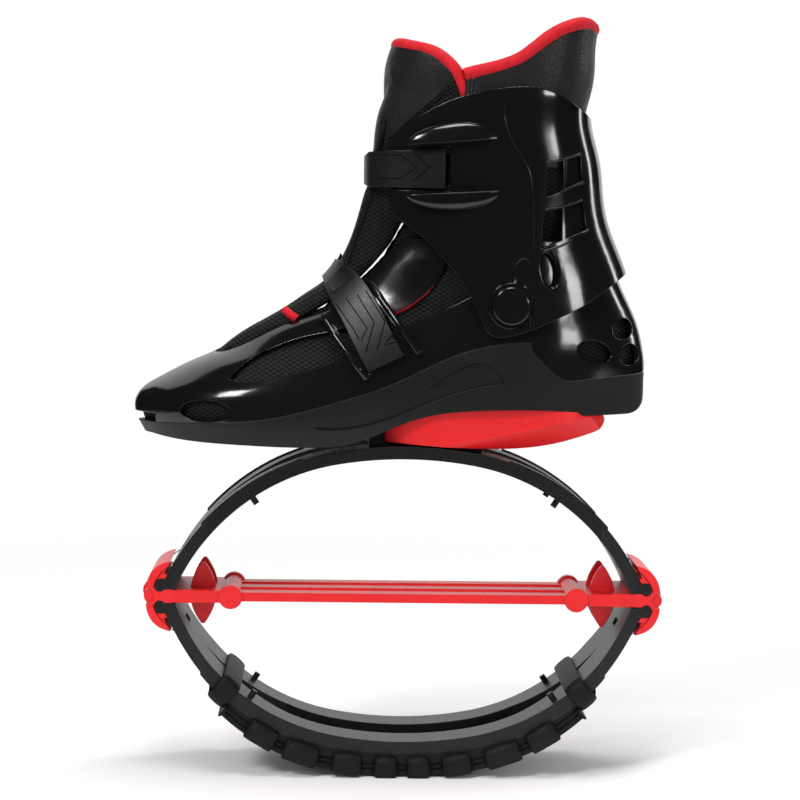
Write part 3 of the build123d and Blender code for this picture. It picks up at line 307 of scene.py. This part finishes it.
def smooth(obj, angle=32.0):
    for polygon in obj.data.polygons:
        polygon.use_smooth = True
    obj.data.set_sharp_from_angle(angle=math.radians(angle))


# The solids that stay visible, or that lend their shape to a soft part, by finish
CAD_FINISHES = [
    (ARCH, ["lower_spring_arch", "upper_spring_arch"]),
    (STEEL, ["arch_clamp_plate", "arch_mount_bolts", "instep_strap_rivet", "cuff_strap_rivet",
             "instep_buckle_pins", "cuff_buckle_pins"]),
    (RUBBER, ["tread_sole", "tread_clip_front", "tread_clip_rear"]),
    (RED, ["tension_band", "sole_fairing"]),
    (GREY, ["sole_base"]),
    (GLOSS, ["lower_shell", "cuff_shell", "hinge_rivet_near", "hinge_rivet_far"]),
    (STRAP, ["instep_strap", "cuff_strap", "instep_buckle_base", "instep_buckle_lever", "instep_buckle_pawl",
             "cuff_buckle_base", "cuff_buckle_lever", "cuff_buckle_pawl"]),
    (NET, ["inner_boot"]), (CLOTH, ["tongue"]), (INSOLE, ["insole"]), (PIPING, ["collar_piping"]),
]
for material, names in CAD_FINISHES:
    for name in names:
        paint(nodes[name], material)
        smooth(nodes[name])


# Soft parts: padded meshes grown from the simple solids that hold their place
CLOTH_PRESSURE = 4.0
CLOTH_FRAMES = 20
HELD_SHARE = 0.1


def linked(name, mesh, material):
    obj = bpy.data.objects.new(name, mesh)
    bpy.context.scene.collection.objects.link(obj)
    if material:
        paint(obj, material)
    return obj


def evaluated(obj):
    return bpy.data.meshes.new_from_object(obj.evaluated_get(bpy.context.evaluated_depsgraph_get()))


def points_of(mesh):
    flat = np.empty(len(mesh.vertices) * 3)
    mesh.vertices.foreach_get("co", flat)
    return flat.reshape(-1, 3)


def tree_of(*objects):
    points, faces = [], []
    for obj in objects:
        start = len(points)
        points += [vertex.co for vertex in obj.data.vertices]
        faces += [[start + corner for corner in face.vertices] for face in obj.data.polygons]
    return BVHTree.FromPolygons(points, faces)


def near_shares(points, centres, reach):
    """0 on the line through the centres, growing smoothly to 1 at reach from it."""
    tree = KDTree(len(centres))
    for index, centre in enumerate(centres):
        tree.insert(centre, index)
    tree.balance()
    share = np.array([min(tree.find(point)[2] / reach, 1.0) for point in points])
    return share * share * (3 - 2 * share)


def padded_copy(name, source, voxel, cap, hard, seams, seam_reach, material):
    """The solid blown up by a cloth simulation, held off the hard parts and pulled in at its seams."""
    obj = linked(name, nodes[source].data.copy(), None)
    remesh = obj.modifiers.new("remesh", "REMESH")
    remesh.mode = "VOXEL"
    remesh.voxel_size = voxel
    mesh = evaluated(obj)
    obj.modifiers.clear()
    obj.data = mesh
    rest = points_of(mesh)
    normals = np.empty(len(mesh.vertices) * 3)
    mesh.vertex_normals.foreach_get("vector", normals)
    normals = normals.reshape(-1, 3)
    gap = np.array([hard.find_nearest(point)[3] for point in rest])
    reach = np.clip(gap - SOFT_CLEARANCE, 0.0, cap)
    if seams:
        reach = np.minimum(reach, cap * near_shares(rest, seams, seam_reach))
    held = obj.vertex_groups.new(name="held")
    held.add([int(i) for i in np.nonzero(reach < HELD_SHARE * cap)[0]], 1.0, "REPLACE")
    cloth = obj.modifiers.new("cloth", "CLOTH")
    cloth.settings.use_pressure = True
    cloth.settings.uniform_pressure_force = CLOTH_PRESSURE
    cloth.settings.vertex_group_mass = "held"
    cloth.settings.effector_weights.gravity = 0.0
    cloth.point_cache.frame_start = 1
    cloth.point_cache.frame_end = CLOTH_FRAMES
    for frame_number in range(1, CLOTH_FRAMES + 1):
        bpy.context.scene.frame_set(frame_number)
        obj.evaluated_get(bpy.context.evaluated_depsgraph_get())
    moved = points_of(evaluated(obj)) - rest
    obj.modifiers.clear()
    bpy.context.scene.frame_set(1)
    obj.vertex_groups.clear()
    length = np.linalg.norm(moved, axis=1)
    moved *= (np.minimum(length, reach) / np.maximum(length, 1e-9))[:, None]
    mesh.vertices.foreach_set("co", (rest + moved).ravel())
    mesh.update()
    finer = obj.modifiers.new("finer", "SUBSURF")
    finer.levels = 1
    obj.data = evaluated(obj)
    obj.modifiers.clear()
    paint(obj, material)
    for polygon in obj.data.polygons:
        polygon.use_smooth = True
    return obj


def two_finishes(obj, point, normal, material):
    """Splits the faces along a plane and gives those on its positive side a second material."""
    bm = bmesh.new()
    bm.from_mesh(obj.data)
    bmesh.ops.bisect_plane(bm, geom=bm.verts[:] + bm.edges[:] + bm.faces[:], plane_co=point, plane_no=normal)
    slot_number = len(obj.data.materials)
    for face in bm.faces:
        if (face.calc_center_median() - Vector(point)).dot(Vector(normal)) > 0:
            face.material_index = slot_number
        face.smooth = True
    bm.to_mesh(obj.data)
    bm.free()
    obj.data.materials.append(material)


def bridge(bm, rings):
    """Faces between each ring of vertices and the next."""
    for first, second in zip(rings, rings[1:]):
        for corner in range(len(first)):
            other = (corner + 1) % len(first)
            bm.faces.new((first[corner], first[other], second[other], second[corner]))


def sweep(name, line, radius, material, body, sides=12):
    """A round tube along a line of points."""
    bm = bmesh.new()
    rings = []
    count = len(line)
    for index, point in enumerate(line):
        along = (line[min(index + 1, count - 1)] - line[max(index - 1, 0)]).normalized()
        side = along.cross(Vector((0, 0, 1)))
        side = side.normalized() if side.length > 1e-6 else Vector((0, 1, 0))
        rise = side.cross(along).normalized()
        ring = []
        for corner in range(sides):
            turn = math.tau * corner / sides
            ring.append(bm.verts.new(point + side * radius * math.cos(turn) + rise * radius * math.sin(turn)))
        rings.append(ring)
    bridge(bm, rings)
    bm.faces.new(rings[0])
    bm.faces.new(list(reversed(rings[-1])))
    bmesh.ops.recalc_face_normals(bm, faces=bm.faces[:])
    mesh = bpy.data.meshes.new(name)
    bm.to_mesh(mesh)
    bm.free()
    obj = linked(name, mesh, material)
    smooth(obj, 60.0)
    if body:
        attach(obj, body)
    return obj


def fine_line(points, per_run):
    """A smooth line through given points, by Catmull-Rom runs."""
    padded = [points[0] * 2 - points[1], *points, points[-1] * 2 - points[-2]]
    line = []
    for before, start, end, after in zip(padded, padded[1:], padded[2:], padded[3:]):
        for step in range(per_run):
            t = step / per_run
            bend = (before * 2 - start * 5 + end * 4 - after) * t * t
            turn = (start * 3 - before - end * 3 + after) * t ** 3
            line.append(0.5 * (start * 2 + (end - before) * t + bend + turn))
    return line + [points[-1]]


def side_line(pairs, per_run):
    return fine_line([Vector((x, 0, z)) for x, z in (at(pair) for pair in pairs)], per_run)


NEAR_Y = -0.3
RIM_REACH = 0.2


def wall_rim(name, pairs, half_wall, drop, way):
    """Centre line of a wall's cut edge, from the near end round the nose or heel to the far end."""
    tree = tree_of(nodes[name])
    near = []
    for point in side_line(pairs, 8):
        start = Vector((point.x, NEAR_Y, point.z - drop))
        hit, normal = tree.ray_cast(start, Vector((0, 1, 0)))[:2]
        if hit is None and not near:
            continue
        if hit is None or hit.y > -half_wall:
            break
        flat = Vector((normal.x, normal.y, 0)).normalized()
        near.append(hit - flat * half_wall)
    end_point = near[-1]
    start = Vector((end_point.x + way * RIM_REACH, 0, end_point.z))
    hit = tree.ray_cast(start, Vector((-way, 0, 0)))[0]
    middle = Vector((hit.x - way * half_wall, 0, end_point.z))
    half = near + [middle]
    return half + [Vector((p.x, -p.y, p.z)) for p in reversed(near)]


SOFT_CLEARANCE = 0.0003
COLLAR_RUN = [(0.642, 0.886), (0.697, 0.902), (0.735, 0.920), (0.764, 0.945), (0.793, 0.972), (0.826, 0.993),
              (0.866, 1.006), (0.895, 1.000)]
TONGUE_RUN = [(0.636, 0.800), (0.627, 0.845), (0.607, 0.893), (0.570, 0.930), (0.520, 0.948), (0.492, 0.957)]
SEAM_HIGH = (0.026, 0.418)
SEAM_LOW = (-0.012, 0.385)
HARD_NODES = ("cuff_shell", "lower_shell", "sole_base", "instep_strap", "cuff_strap", "cuff_strap_rivet",
              "instep_strap_rivet", "instep_buckle_base", "cuff_buckle_base", "hinge_rivet_near",
              "hinge_rivet_far")
hard_parts = tree_of(*[nodes[name] for name in HARD_NODES])
SOFT_HALF_WALL = 0.0035
LEATHER_SHARE = 0.66
COLLAR_BINDING_RADIUS = 0.0043
TONGUE_BINDING_RADIUS = 0.0040
GUSSET_RADIUS = 0.0040
collar_line = wall_rim("inner_boot", COLLAR_RUN, SOFT_HALF_WALL, drop=0.0030, way=1)
tongue_line = wall_rim("tongue", TONGUE_RUN, SOFT_HALF_WALL, drop=0.0025, way=-1)


def join_at_cuff(piece):
    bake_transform(piece)


liner = padded_copy("padded_liner", "inner_boot", voxel=0.0036, cap=0.0030, hard=hard_parts,
                    seams=collar_line, seam_reach=0.014, material=NET)
two_finishes(liner, (0, 0, BASE_Z + LEATHER_SHARE * BOOT_HEIGHT), (0, 0, 1), LEATHER)
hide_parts("inner_boot")
join_at_cuff(liner)

seam_normal = Vector((SEAM_LOW[1] - SEAM_HIGH[1], 0, SEAM_HIGH[0] - SEAM_LOW[0])).normalized()
tongue_pad = padded_copy("padded_tongue", "tongue", voxel=0.0030, cap=0.0030, hard=hard_parts,
                         seams=tongue_line, seam_reach=0.012, material=NET)
two_finishes(tongue_pad, (SEAM_HIGH[0], 0, SEAM_HIGH[1]), seam_normal, LEATHER)
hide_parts("tongue")
join_at_cuff(tongue_pad)

# The collar's ends run on behind the tongue, with a leather gusset below each
COLLAR_TUCK = Vector((-0.0065, 0, -0.0018))
GUSSET_LEAN_IN = 0.0008
GUSSET_RUN = ((0.0035, -0.0015), (0.0030, -0.0080), (0.0020, -0.0150), (0.0010, -0.0220), (0.0, -0.0290))
near_end, far_end = collar_line[0] + COLLAR_TUCK, collar_line[-1] + COLLAR_TUCK
binding_line = [near_end, *collar_line, far_end]
collar_binding = sweep("collar_binding", binding_line, COLLAR_BINDING_RADIUS, PIPING, "cuff")
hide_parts("collar_piping")
tongue_binding = sweep("tongue_binding", tongue_line, TONGUE_BINDING_RADIUS, PIPING, "cuff")

insole_pad = padded_copy("insole_pad", "insole", voxel=0.0013, cap=0.0002, hard=hard_parts,
                         seams=[], seam_reach=0.01, material=INSOLE)
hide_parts("insole")
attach(insole_pad, "boot")

# Rubber loops that hold the tread, with the round section of moulded rubber
CLIP_TURN = math.radians(41.3)
CLIP_CENTRE = (0.1067, 0.0520)
CLIP_IN = 0.0059
CLIP_OUT = -0.0083
CLIP_SIDE = 0.0396
CLIP_CORNER = 0.0045
CLIP_HALF_WIDTH = 0.0064
CLIP_HALF_WALL = 0.0021
CLIP_SQUARENESS = 0.75
CLIP_SECTION_SIDES = 20
CLIP_CORNER_STEPS = 6


def rubber_loop(name, source, way):
    """A closed loop round arch and tread, its section a flat oval with full round edges."""
    along = Vector((way * math.cos(CLIP_TURN), 0, math.sin(CLIP_TURN)))
    inward = Vector((-way * math.sin(CLIP_TURN), 0, math.cos(CLIP_TURN)))
    centre = Vector((way * CLIP_CENTRE[0], 0, CLIP_CENTRE[1]))
    path = []
    for side, level, quarter in ((1, CLIP_IN, 0), (-1, CLIP_IN, 1), (-1, CLIP_OUT, 2), (1, CLIP_OUT, 3)):
        hub = Vector((side * (CLIP_SIDE - CLIP_CORNER), level - math.copysign(CLIP_CORNER, level)))
        for step in range(CLIP_CORNER_STEPS + 1):
            turn = math.pi / 2 * (quarter + step / CLIP_CORNER_STEPS)
            path.append((hub, Vector((math.cos(turn), math.sin(turn)))))
    bm = bmesh.new()
    rings = []
    for hub, facing in path:
        spot = hub + facing * CLIP_CORNER
        outward = Vector((0, facing.x, 0)) + inward * facing.y
        middle = centre + Vector((0, spot.x, 0)) + inward * spot.y
        ring = []
        for corner in range(CLIP_SECTION_SIDES):
            turn = math.tau * corner / CLIP_SECTION_SIDES
            waves = (math.cos(turn), math.sin(turn))
            across, rise = [math.copysign(abs(wave) ** CLIP_SQUARENESS, wave) for wave in waves]
            offset = along * CLIP_HALF_WIDTH * across + outward * CLIP_HALF_WALL * rise
            ring.append(bm.verts.new(middle + offset))
        rings.append(ring)
    bridge(bm, rings + rings[:1])
    bmesh.ops.recalc_face_normals(bm, faces=bm.faces[:])
    mesh = bpy.data.meshes.new(name)
    bm.to_mesh(mesh)
    bm.free()
    obj = linked(name, mesh, RUBBER)
    smooth(obj, 60.0)
    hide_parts(source)
    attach(obj, "lower_spring")
    return obj


# Fine details laid on the surfaces, each line given in the side view
def drawn_on(surface, pairs, lift, per_run):
    """The line of x and z pairs thrown onto the surface's near side and lifted off it."""
    tree = tree_of(surface)
    line = []
    for x, z in pairs:
        hit, normal = tree.ray_cast(Vector((x, NEAR_Y, z)), Vector((0, 1, 0)))[:2]
        if hit is not None:
            line.append(hit + normal * lift)
    return fine_line(line, per_run) if per_run else line


def straight(start, end, count):
    return [(start[0] + (end[0] - start[0]) * k / count, start[1] + (end[1] - start[1]) * k / count)
            for k in range(count + 1)]


def folded(corners, counts):
    """Straight runs from corner to corner, each cut into its count of steps."""
    line = [corners[0]]
    for start, end, count in zip(corners, corners[1:], counts):
        line += straight(start, end, count)[1:]
    return line


def merged(name, parts):
    """Several small meshes of one material as one piece."""
    bm = bmesh.new()
    for part in parts:
        bm.from_mesh(part.data)
        bpy.data.objects.remove(part)
    mesh = bpy.data.meshes.new(name)
    bm.to_mesh(mesh)
    bm.free()
    return mesh


def line_set(name, surface, lines, radius, lift, material, body, per_run=4):
    """Thin rounded ridges or grooves along lines on a surface, as one piece."""
    parts = [sweep(f"{name}_{k}", drawn_on(surface, line, lift, per_run), radius, material, None, sides=8)
             for k, line in enumerate(lines)]
    obj = linked(name, merged(name, parts), material)
    smooth(obj, 60.0)
    if body:
        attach(obj, body)
    return obj


gusset_parts = []
for start in (near_end, far_end):
    inward = math.copysign(GUSSET_LEAN_IN, -start.y)
    drop = [start + Vector((dx, inward, dz)) for dx, dz in GUSSET_RUN]
    gusset_parts.append(sweep(f"gusset_{len(gusset_parts)}", drop, GUSSET_RADIUS, LEATHER, None))
gussets = linked("collar_gussets", merged("collar_gussets", gusset_parts), LEATHER)
smooth(gussets, 60.0)
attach(gussets, "cuff")

guide_lines = [straight((-0.0540, 0.2800), (-0.0247, 0.2415), 6),
               straight((-0.0225, 0.2968), (0.0062, 0.2570), 6)]
line_set("strap_guides", nodes["lower_shell"], guide_lines, radius=0.0021, lift=0.0009, material=GLOSS,
         body="boot")
ridge_lines = [[(0.0795, 0.3700), (0.0880, 0.3718), (0.1005, 0.3757)],
               [(0.0805, 0.3505), (0.0884, 0.3530), (0.1027, 0.3592)],
               [(0.0795, 0.3423), (0.0885, 0.3442), (0.1022, 0.3485)],
               [(0.0790, 0.3180), (0.0900, 0.3215), (0.1062, 0.3308)]]
line_set("vent_ridges", nodes["cuff_shell"], ridge_lines, radius=0.0008, lift=0.0002, material=GLOSS,
         body="cuff")
seam_line = [(0.0540, 0.4150), (0.0542, 0.4050), (0.0549, 0.3946), (0.0575, 0.3870), (0.0610, 0.3801),
             (0.0655, 0.3735), (0.0696, 0.3656), (0.0715, 0.3570), (0.0723, 0.3481), (0.0727, 0.3340),
             (0.0728, 0.3187), (0.0720, 0.3070), (0.0712, 0.2950), (0.0713, 0.2840), (0.0717, 0.2730)]
line_set("cuff_seam", nodes["cuff_shell"], [seam_line], radius=0.0005, lift=0.0001, material=GLOSS,
         body="cuff")

TOOTH_COUNT = 8
tooth_feet = straight((-0.0487, 0.2958), (-0.0449, 0.2915), TOOTH_COUNT - 1)
tooth_heads = straight((-0.0385, 0.3078), (-0.0322, 0.3012), TOOTH_COUNT - 1)
tooth_lines = [straight(foot, head, 6) for foot, head in zip(tooth_feet, tooth_heads)]
line_set("ladder_teeth", nodes["instep_strap"], tooth_lines, radius=0.0006, lift=0.0003, material=STRAP,
         body="boot", per_run=1)
# The strap chevrons are near-black lines set just under the strap's face: painted shade in place of cut
# grooves
chevron_lines = [
    folded([(-0.0432, 0.2850), (-0.0322, 0.2700), (-0.0290, 0.2640)], [5, 2]),
    folded([(-0.0371, 0.2883), (-0.0244, 0.2711), (-0.0279, 0.2635)], [5, 2]),
    folded([(-0.0305, 0.2908), (-0.0203, 0.2745), (-0.0249, 0.2572)], [5, 4]),
    folded([(-0.0252, 0.2927), (-0.0138, 0.2752), (-0.0184, 0.2584)], [5, 4]),
    folded([(-0.0096, 0.2673), (-0.0137, 0.2614), (-0.0072, 0.2633), (-0.0096, 0.2673)], [2, 2, 2])]
line_set("strap_chevrons", nodes["instep_strap"], chevron_lines, radius=0.00035, lift=-0.0001,
         material=GROOVE_SHADE, body="boot", per_run=1)
# The cuff strap's chevrons are painted shade lines too
cuff_chevrons = [
    folded([(-0.0180, 0.3735), (-0.0060, 0.3735), (0.0035, 0.3665), (-0.0060, 0.3595), (-0.0180, 0.3595)],
           [3, 2, 2, 3]),
    folded([(0.0020, 0.3745), (0.0115, 0.3665), (0.0020, 0.3585)], [3, 3])]
line_set("cuff_strap_chevrons", nodes["cuff_strap"], cuff_chevrons, radius=0.0003, lift=-0.0001,
         material=GROOVE_SHADE, body="cuff", per_run=1)

edge_line = [(-0.0150, 0.3950), (-0.0161, 0.3857), (-0.0194, 0.3708), (-0.0222, 0.3528), (-0.0279, 0.3348),
             (-0.0337, 0.3179), (-0.0372, 0.3076)]
tongue_edge = line_set("tongue_edge_binding", tongue_pad, [edge_line], radius=0.0021, lift=0.0002,
                       material=CLOTH, body=None, per_run=6)
join_at_cuff(tongue_edge)
tab_line = straight((-0.0735, 0.2795), (-0.0668, 0.2750), 3)
line_set("red_tab", tongue_pad, [tab_line], radius=0.0026, lift=0.0002, material=PIPING, body="boot",
         per_run=2)
lining_line = [(-0.0085, 0.2795), (-0.0040, 0.2815), (0.0012, 0.2848), (0.0101, 0.2920), (0.0140, 0.2970)]
line_set("red_lining_edge", liner, [lining_line], radius=0.0014, lift=0.0004, material=PIPING, body="boot")

STITCH_RADIUS = 0.0004
STITCH_ROW_OFFSET = 0.0013
STITCHES_A_ROW = 15
STITCH_START_SHARE = 0.15
STITCH_END_SHARE = 0.85
stitch_parts = []
for offset in (-STITCH_ROW_OFFSET, STITCH_ROW_OFFSET):
    row = straight((0.0225, 0.4140 + offset), (-0.0130, 0.3815 + offset), STITCHES_A_ROW)
    run = drawn_on(tongue_pad, row, lift=0.0002, per_run=0)
    for start, end in zip(run, run[1:]):
        thread = [start.lerp(end, STITCH_START_SHARE), start.lerp(end, STITCH_END_SHARE)]
        stitch_parts.append(sweep(f"stitch_{len(stitch_parts)}", thread, STITCH_RADIUS, CLOTH, None, sides=6))
stitches = linked("tongue_stitches", merged("tongue_stitches", stitch_parts), CLOTH)
smooth(stitches, 60.0)
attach(stitches, "cuff")

clip_rubber = [rubber_loop("tread_clip_front_rubber", "tread_clip_front", -1),
               rubber_loop("tread_clip_rear_rubber", "tread_clip_rear", 1)]

# Rounded ends of the tread's side lugs
LUG_CENTRES = (0.010, 0.034, 0.063, 0.088)
LUG_WIDTHS = (0.0135, 0.0175, 0.0215, 0.0190)
LUG_REACH = 0.0426
LUG_SQUARENESS = 0.68
LUG_INSET = 0.006
LUG_SINK = 0.0066
LUG_SWELL = 0.0010
LUG_HALF_RISE = 0.0069
LUG_HALF_DEPTH = 0.0085
LUG_RINGS = 10
LUG_TURNS = 20
WELD_REACH = 0.00001


def soft_box(bm, centre, across, along, rise):
    """A superellipsoid: a box with its corners and edges worn round."""
    grid = []
    for ring in range(LUG_RINGS + 1):
        tilt = math.pi * (ring / LUG_RINGS - 0.5)
        round_off = abs(math.cos(tilt)) ** LUG_SQUARENESS
        row = []
        for step in range(LUG_TURNS):
            turn = math.tau * step / LUG_TURNS
            waves = (math.cos(turn), math.sin(turn), math.sin(tilt))
            shape = [math.copysign(abs(wave) ** LUG_SQUARENESS, wave) for wave in waves]
            flat = (across * shape[0] + along * shape[1]) * round_off
            row.append(bm.verts.new(centre + flat + rise * shape[2]))
        grid.append(row)
    bridge(bm, grid)


tread_tree = tree_of(nodes["tread_sole"])
lug_bm = bmesh.new()
for way in (-1, 1):
    for side in (-1, 1):
        for centre_x, width in zip(LUG_CENTRES, LUG_WIDTHS):
            start = Vector((way * centre_x, side * (LUG_REACH - LUG_INSET), -LUG_REACH))
            foot, out = tread_tree.ray_cast(start, Vector((0, 0, 1)))[:2]
            out = Vector((out.x, 0, out.z)).normalized()
            along = Vector((out.z, 0, -out.x))
            centre = foot - out * LUG_SINK + Vector((0, -side * LUG_SWELL, 0))
            depth = Vector((0, LUG_HALF_DEPTH, 0))
            soft_box(lug_bm, centre, along * (width / 2 + LUG_SWELL), out * LUG_HALF_RISE, depth)
bmesh.ops.remove_doubles(lug_bm, verts=lug_bm.verts[:], dist=WELD_REACH)
bmesh.ops.recalc_face_normals(lug_bm, faces=lug_bm.faces[:])
lug_mesh = bpy.data.meshes.new("tread_lug_ends")
lug_bm.to_mesh(lug_mesh)
lug_bm.free()
lug_ends = linked("tread_lug_ends", lug_mesh, RUBBER)
smooth(lug_ends, 80.0)
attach(lug_ends, "lower_spring")

# Rounded noses of the band's end caps, and their side grooves drawn as dark red lines of painted shade
OVAL_MID_Z = 0.107
NOSE_X = 0.1522
NOSE_RADIUS = 0.0047
NOSE_HALF_WIDTH = 0.0262
NOSE_END_RUN = 0.0007
GROOVE_FACE_Y = 0.0276
GROOVE_RADIUS = 0.0003
GROOVE_ARC = ((0.1385, 0.0208), (0.1442, 0.0162), (0.1490, 0.0105), (0.1513, 0.0052))
nose_body = NOSE_HALF_WIDTH - NOSE_END_RUN
nose_stations = [-NOSE_HALF_WIDTH, -nose_body, 0.0, nose_body, NOSE_HALF_WIDTH]
nose_parts, groove_parts = [], []
for way in (-1, 1):
    nose_line = [Vector((way * NOSE_X, y, OVAL_MID_Z)) for y in nose_stations]
    nose_parts.append(sweep(f"nose_{way}", nose_line, NOSE_RADIUS, RED, None, sides=16))
    for side in (-1, 1):
        for fold in (-1, 1):
            arc = [Vector((way * x, side * GROOVE_FACE_Y, OVAL_MID_Z + fold * z)) for x, z in GROOVE_ARC]
            part_name = f"groove_{len(groove_parts)}"
            groove_parts.append(sweep(part_name, fine_line(arc, 4), GROOVE_RADIUS, RED_GROOVE_SHADE, None, sides=6))
cap_noses = linked("cap_noses", merged("cap_noses", nose_parts), RED)
smooth(cap_noses, 50.0)
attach(cap_noses, "band")
cap_grooves = linked("cap_grooves", merged("cap_grooves", groove_parts), RED_GROOVE_SHADE)
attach(cap_grooves, "band")

# The arches, the tread, the lug ends and the rubber loops each get a mesh of their own
for piece in (nodes["lower_spring_arch"], nodes["tread_sole"], lug_ends, *clip_rubber):
    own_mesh(piece)
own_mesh(nodes["upper_spring_arch"])


# The photograph's camera, turned with the boot's slight lean in the picture
TILT = math.radians(0.8)
YAW = math.radians(1.4437)
PITCH = math.radians(4.4614)
CAMERA_PLACE = Vector((-0.03780, -1.500, 0.34231))
forward = Vector((math.sin(YAW) * math.cos(PITCH), math.cos(YAW) * math.cos(PITCH), -math.sin(PITCH)))
right = Vector((math.cos(YAW), -math.sin(YAW), 0))
up = right.cross(forward)
lean = Matrix(((math.cos(TILT), 0, -math.sin(TILT)), (0, 1, 0), (math.sin(TILT), 0, math.cos(TILT))))
forward, right, up = lean @ forward, lean @ right, lean @ up
camera_data = bpy.data.cameras.new("camera")
camera = bpy.data.objects.new("camera", camera_data)
bpy.context.scene.collection.objects.link(camera)
place = Matrix((right, up, -forward)).transposed().to_4x4()
place.translation = lean @ CAMERA_PLACE
camera.matrix_world = place
camera_data.lens = 110.7
camera_data.sensor_width = 36.0
camera_data.clip_start = 0.05
camera_data.clip_end = 30.0
bpy.context.scene.camera = camera

# Pale floor that fades into the white backdrop
FLOOR_HALF = 4.0
FADE_START = 0.30
FADE_END = 1.10
ROOM_STRENGTH = 0.55
floor_mesh = bpy.data.meshes.new("floor")
floor_corners = [(-FLOOR_HALF, -FLOOR_HALF, 0), (FLOOR_HALF, -FLOOR_HALF, 0), (FLOOR_HALF, FLOOR_HALF, 0),
                 (-FLOOR_HALF, FLOOR_HALF, 0)]
floor_mesh.from_pydata(floor_corners, [], [(0, 1, 2, 3)])
floor = linked("floor", floor_mesh, None)
pale = Nodes("pale_floor", Roughness=0.9, Specular_IOR_Level=0.0)
pale.colours(pale.noise(scale=3.0), (0.0, grey(0.90)), (1.0, grey(0.92)))
spread = pale.add("ShaderNodeVectorMath", operation="LENGTH")
pale.link(pale.coords.outputs["Object"], spread.inputs[0])
pale.link(pale.span(spread.outputs["Value"], FADE_START, FADE_END, 1.0, 0.0), pale.shader.inputs["Alpha"])
floor_mesh.materials.append(pale.material)

world = bpy.data.worlds.new("studio")
bpy.context.scene.world = world
world.use_nodes = True
sky = world.node_tree
backdrop = sky.nodes["Background"]
backdrop.inputs["Color"].default_value = (1, 1, 1, 1)
backdrop.inputs["Strength"].default_value = 1.0
room = sky.nodes.new("ShaderNodeBackground")
room.inputs["Color"].default_value = (1, 1, 1, 1)
room.inputs["Strength"].default_value = ROOM_STRENGTH
rays = sky.nodes.new("ShaderNodeLightPath")
seen = sky.nodes.new("ShaderNodeMath")
seen.operation = "MAXIMUM"
seen_too = sky.nodes.new("ShaderNodeMath")
seen_too.operation = "MAXIMUM"
sky.links.new(rays.outputs["Is Camera Ray"], seen.inputs[0])
sky.links.new(rays.outputs["Is Glossy Ray"], seen.inputs[1])
sky.links.new(seen.outputs[0], seen_too.inputs[0])
sky.links.new(rays.outputs["Is Transmission Ray"], seen_too.inputs[1])
choice = sky.nodes.new("ShaderNodeMixShader")
sky.links.new(seen_too.outputs[0], choice.inputs["Fac"])
sky.links.new(room.outputs[0], choice.inputs[1])
sky.links.new(backdrop.outputs[0], choice.inputs[2])
sky.links.new(choice.outputs[0], sky.nodes["World Output"].inputs["Surface"])


# Black panels and soft lamps
def flag(name, corners):
    """A black studio panel, out of the camera's sight, that keeps the gloss dark."""
    mesh = bpy.data.meshes.new(name)
    mesh.from_pydata(corners, [], [tuple(range(len(corners)))])
    obj = linked(name, mesh, FLAG)
    obj.visible_camera = False
    obj.visible_diffuse = False
    obj.visible_shadow = False


flag_cloth = Nodes("black_flag", Roughness=0.9, Specular_IOR_Level=0.0)
flag_cloth.colours(flag_cloth.noise(scale=2.0), (0.0, grey(0.010)), (1.0, grey(0.014)))
FLAG = flag_cloth.material
FLAG_X = 2.6
FLAG_FRONT_Y = -2.4
FLAG_SIDE_BACK_Y = 3.4
FLAG_CEILING_BACK_Y = 1.2
FLAG_FLOOR_BACK_Y = -0.35
FLAG_FLOOR_Z = 0.002
FLAG_LOW_Z = -0.6
FLAG_TOP_Z = 2.6


def level_flag(name, back_y, z):
    near = [(-FLAG_X, FLAG_FRONT_Y, z), (FLAG_X, FLAG_FRONT_Y, z)]
    flag(name, [*near, (FLAG_X, back_y, z), (-FLAG_X, back_y, z)])


def upright_flag(name, start, end):
    flag(name, [(*start, FLAG_LOW_Z), (*end, FLAG_LOW_Z), (*end, FLAG_TOP_Z), (*start, FLAG_TOP_Z)])


upright_flag("front_flag", (-FLAG_X, FLAG_FRONT_Y), (FLAG_X, FLAG_FRONT_Y))
level_flag("floor_flag", FLAG_FLOOR_BACK_Y, FLAG_FLOOR_Z)
upright_flag("left_flag", (-FLAG_X, FLAG_FRONT_Y), (-FLAG_X, FLAG_SIDE_BACK_Y))
upright_flag("right_flag", (FLAG_X, FLAG_FRONT_Y), (FLAG_X, FLAG_SIDE_BACK_Y))
level_flag("ceiling_flag", FLAG_CEILING_BACK_Y, FLAG_TOP_Z)


def softbox(name, place, target, size, power):
    light = bpy.data.lights.new(name, "AREA")
    light.shape = "RECTANGLE"
    light.size, light.size_y = size
    light.energy = power
    obj = bpy.data.objects.new(name, light)
    bpy.context.scene.collection.objects.link(obj)
    obj.location = place
    obj.rotation_euler = (Vector(target) - Vector(place)).to_track_quat("-Z", "Y").to_euler()


softbox("key_light", (-1.1, -1.5, 1.7), target=(0, 0, 0.25), size=(0.45, 0.6), power=23)
softbox("top_light", (0.15, -0.1, 2.0), target=(0, 0, 0.2), size=(1.6, 0.4), power=21)
softbox("side_light", (1.7, 0.7, 0.8), target=(0, 0, 0.25), size=(0.20, 1.0), power=5)
softbox("fill_light", (1.25, -1.72, 0.58), target=(0.10, 0, 0.29), size=(0.55, 0.22), power=6)
view = bpy.context.scene.view_settings
view.view_transform = "Standard"
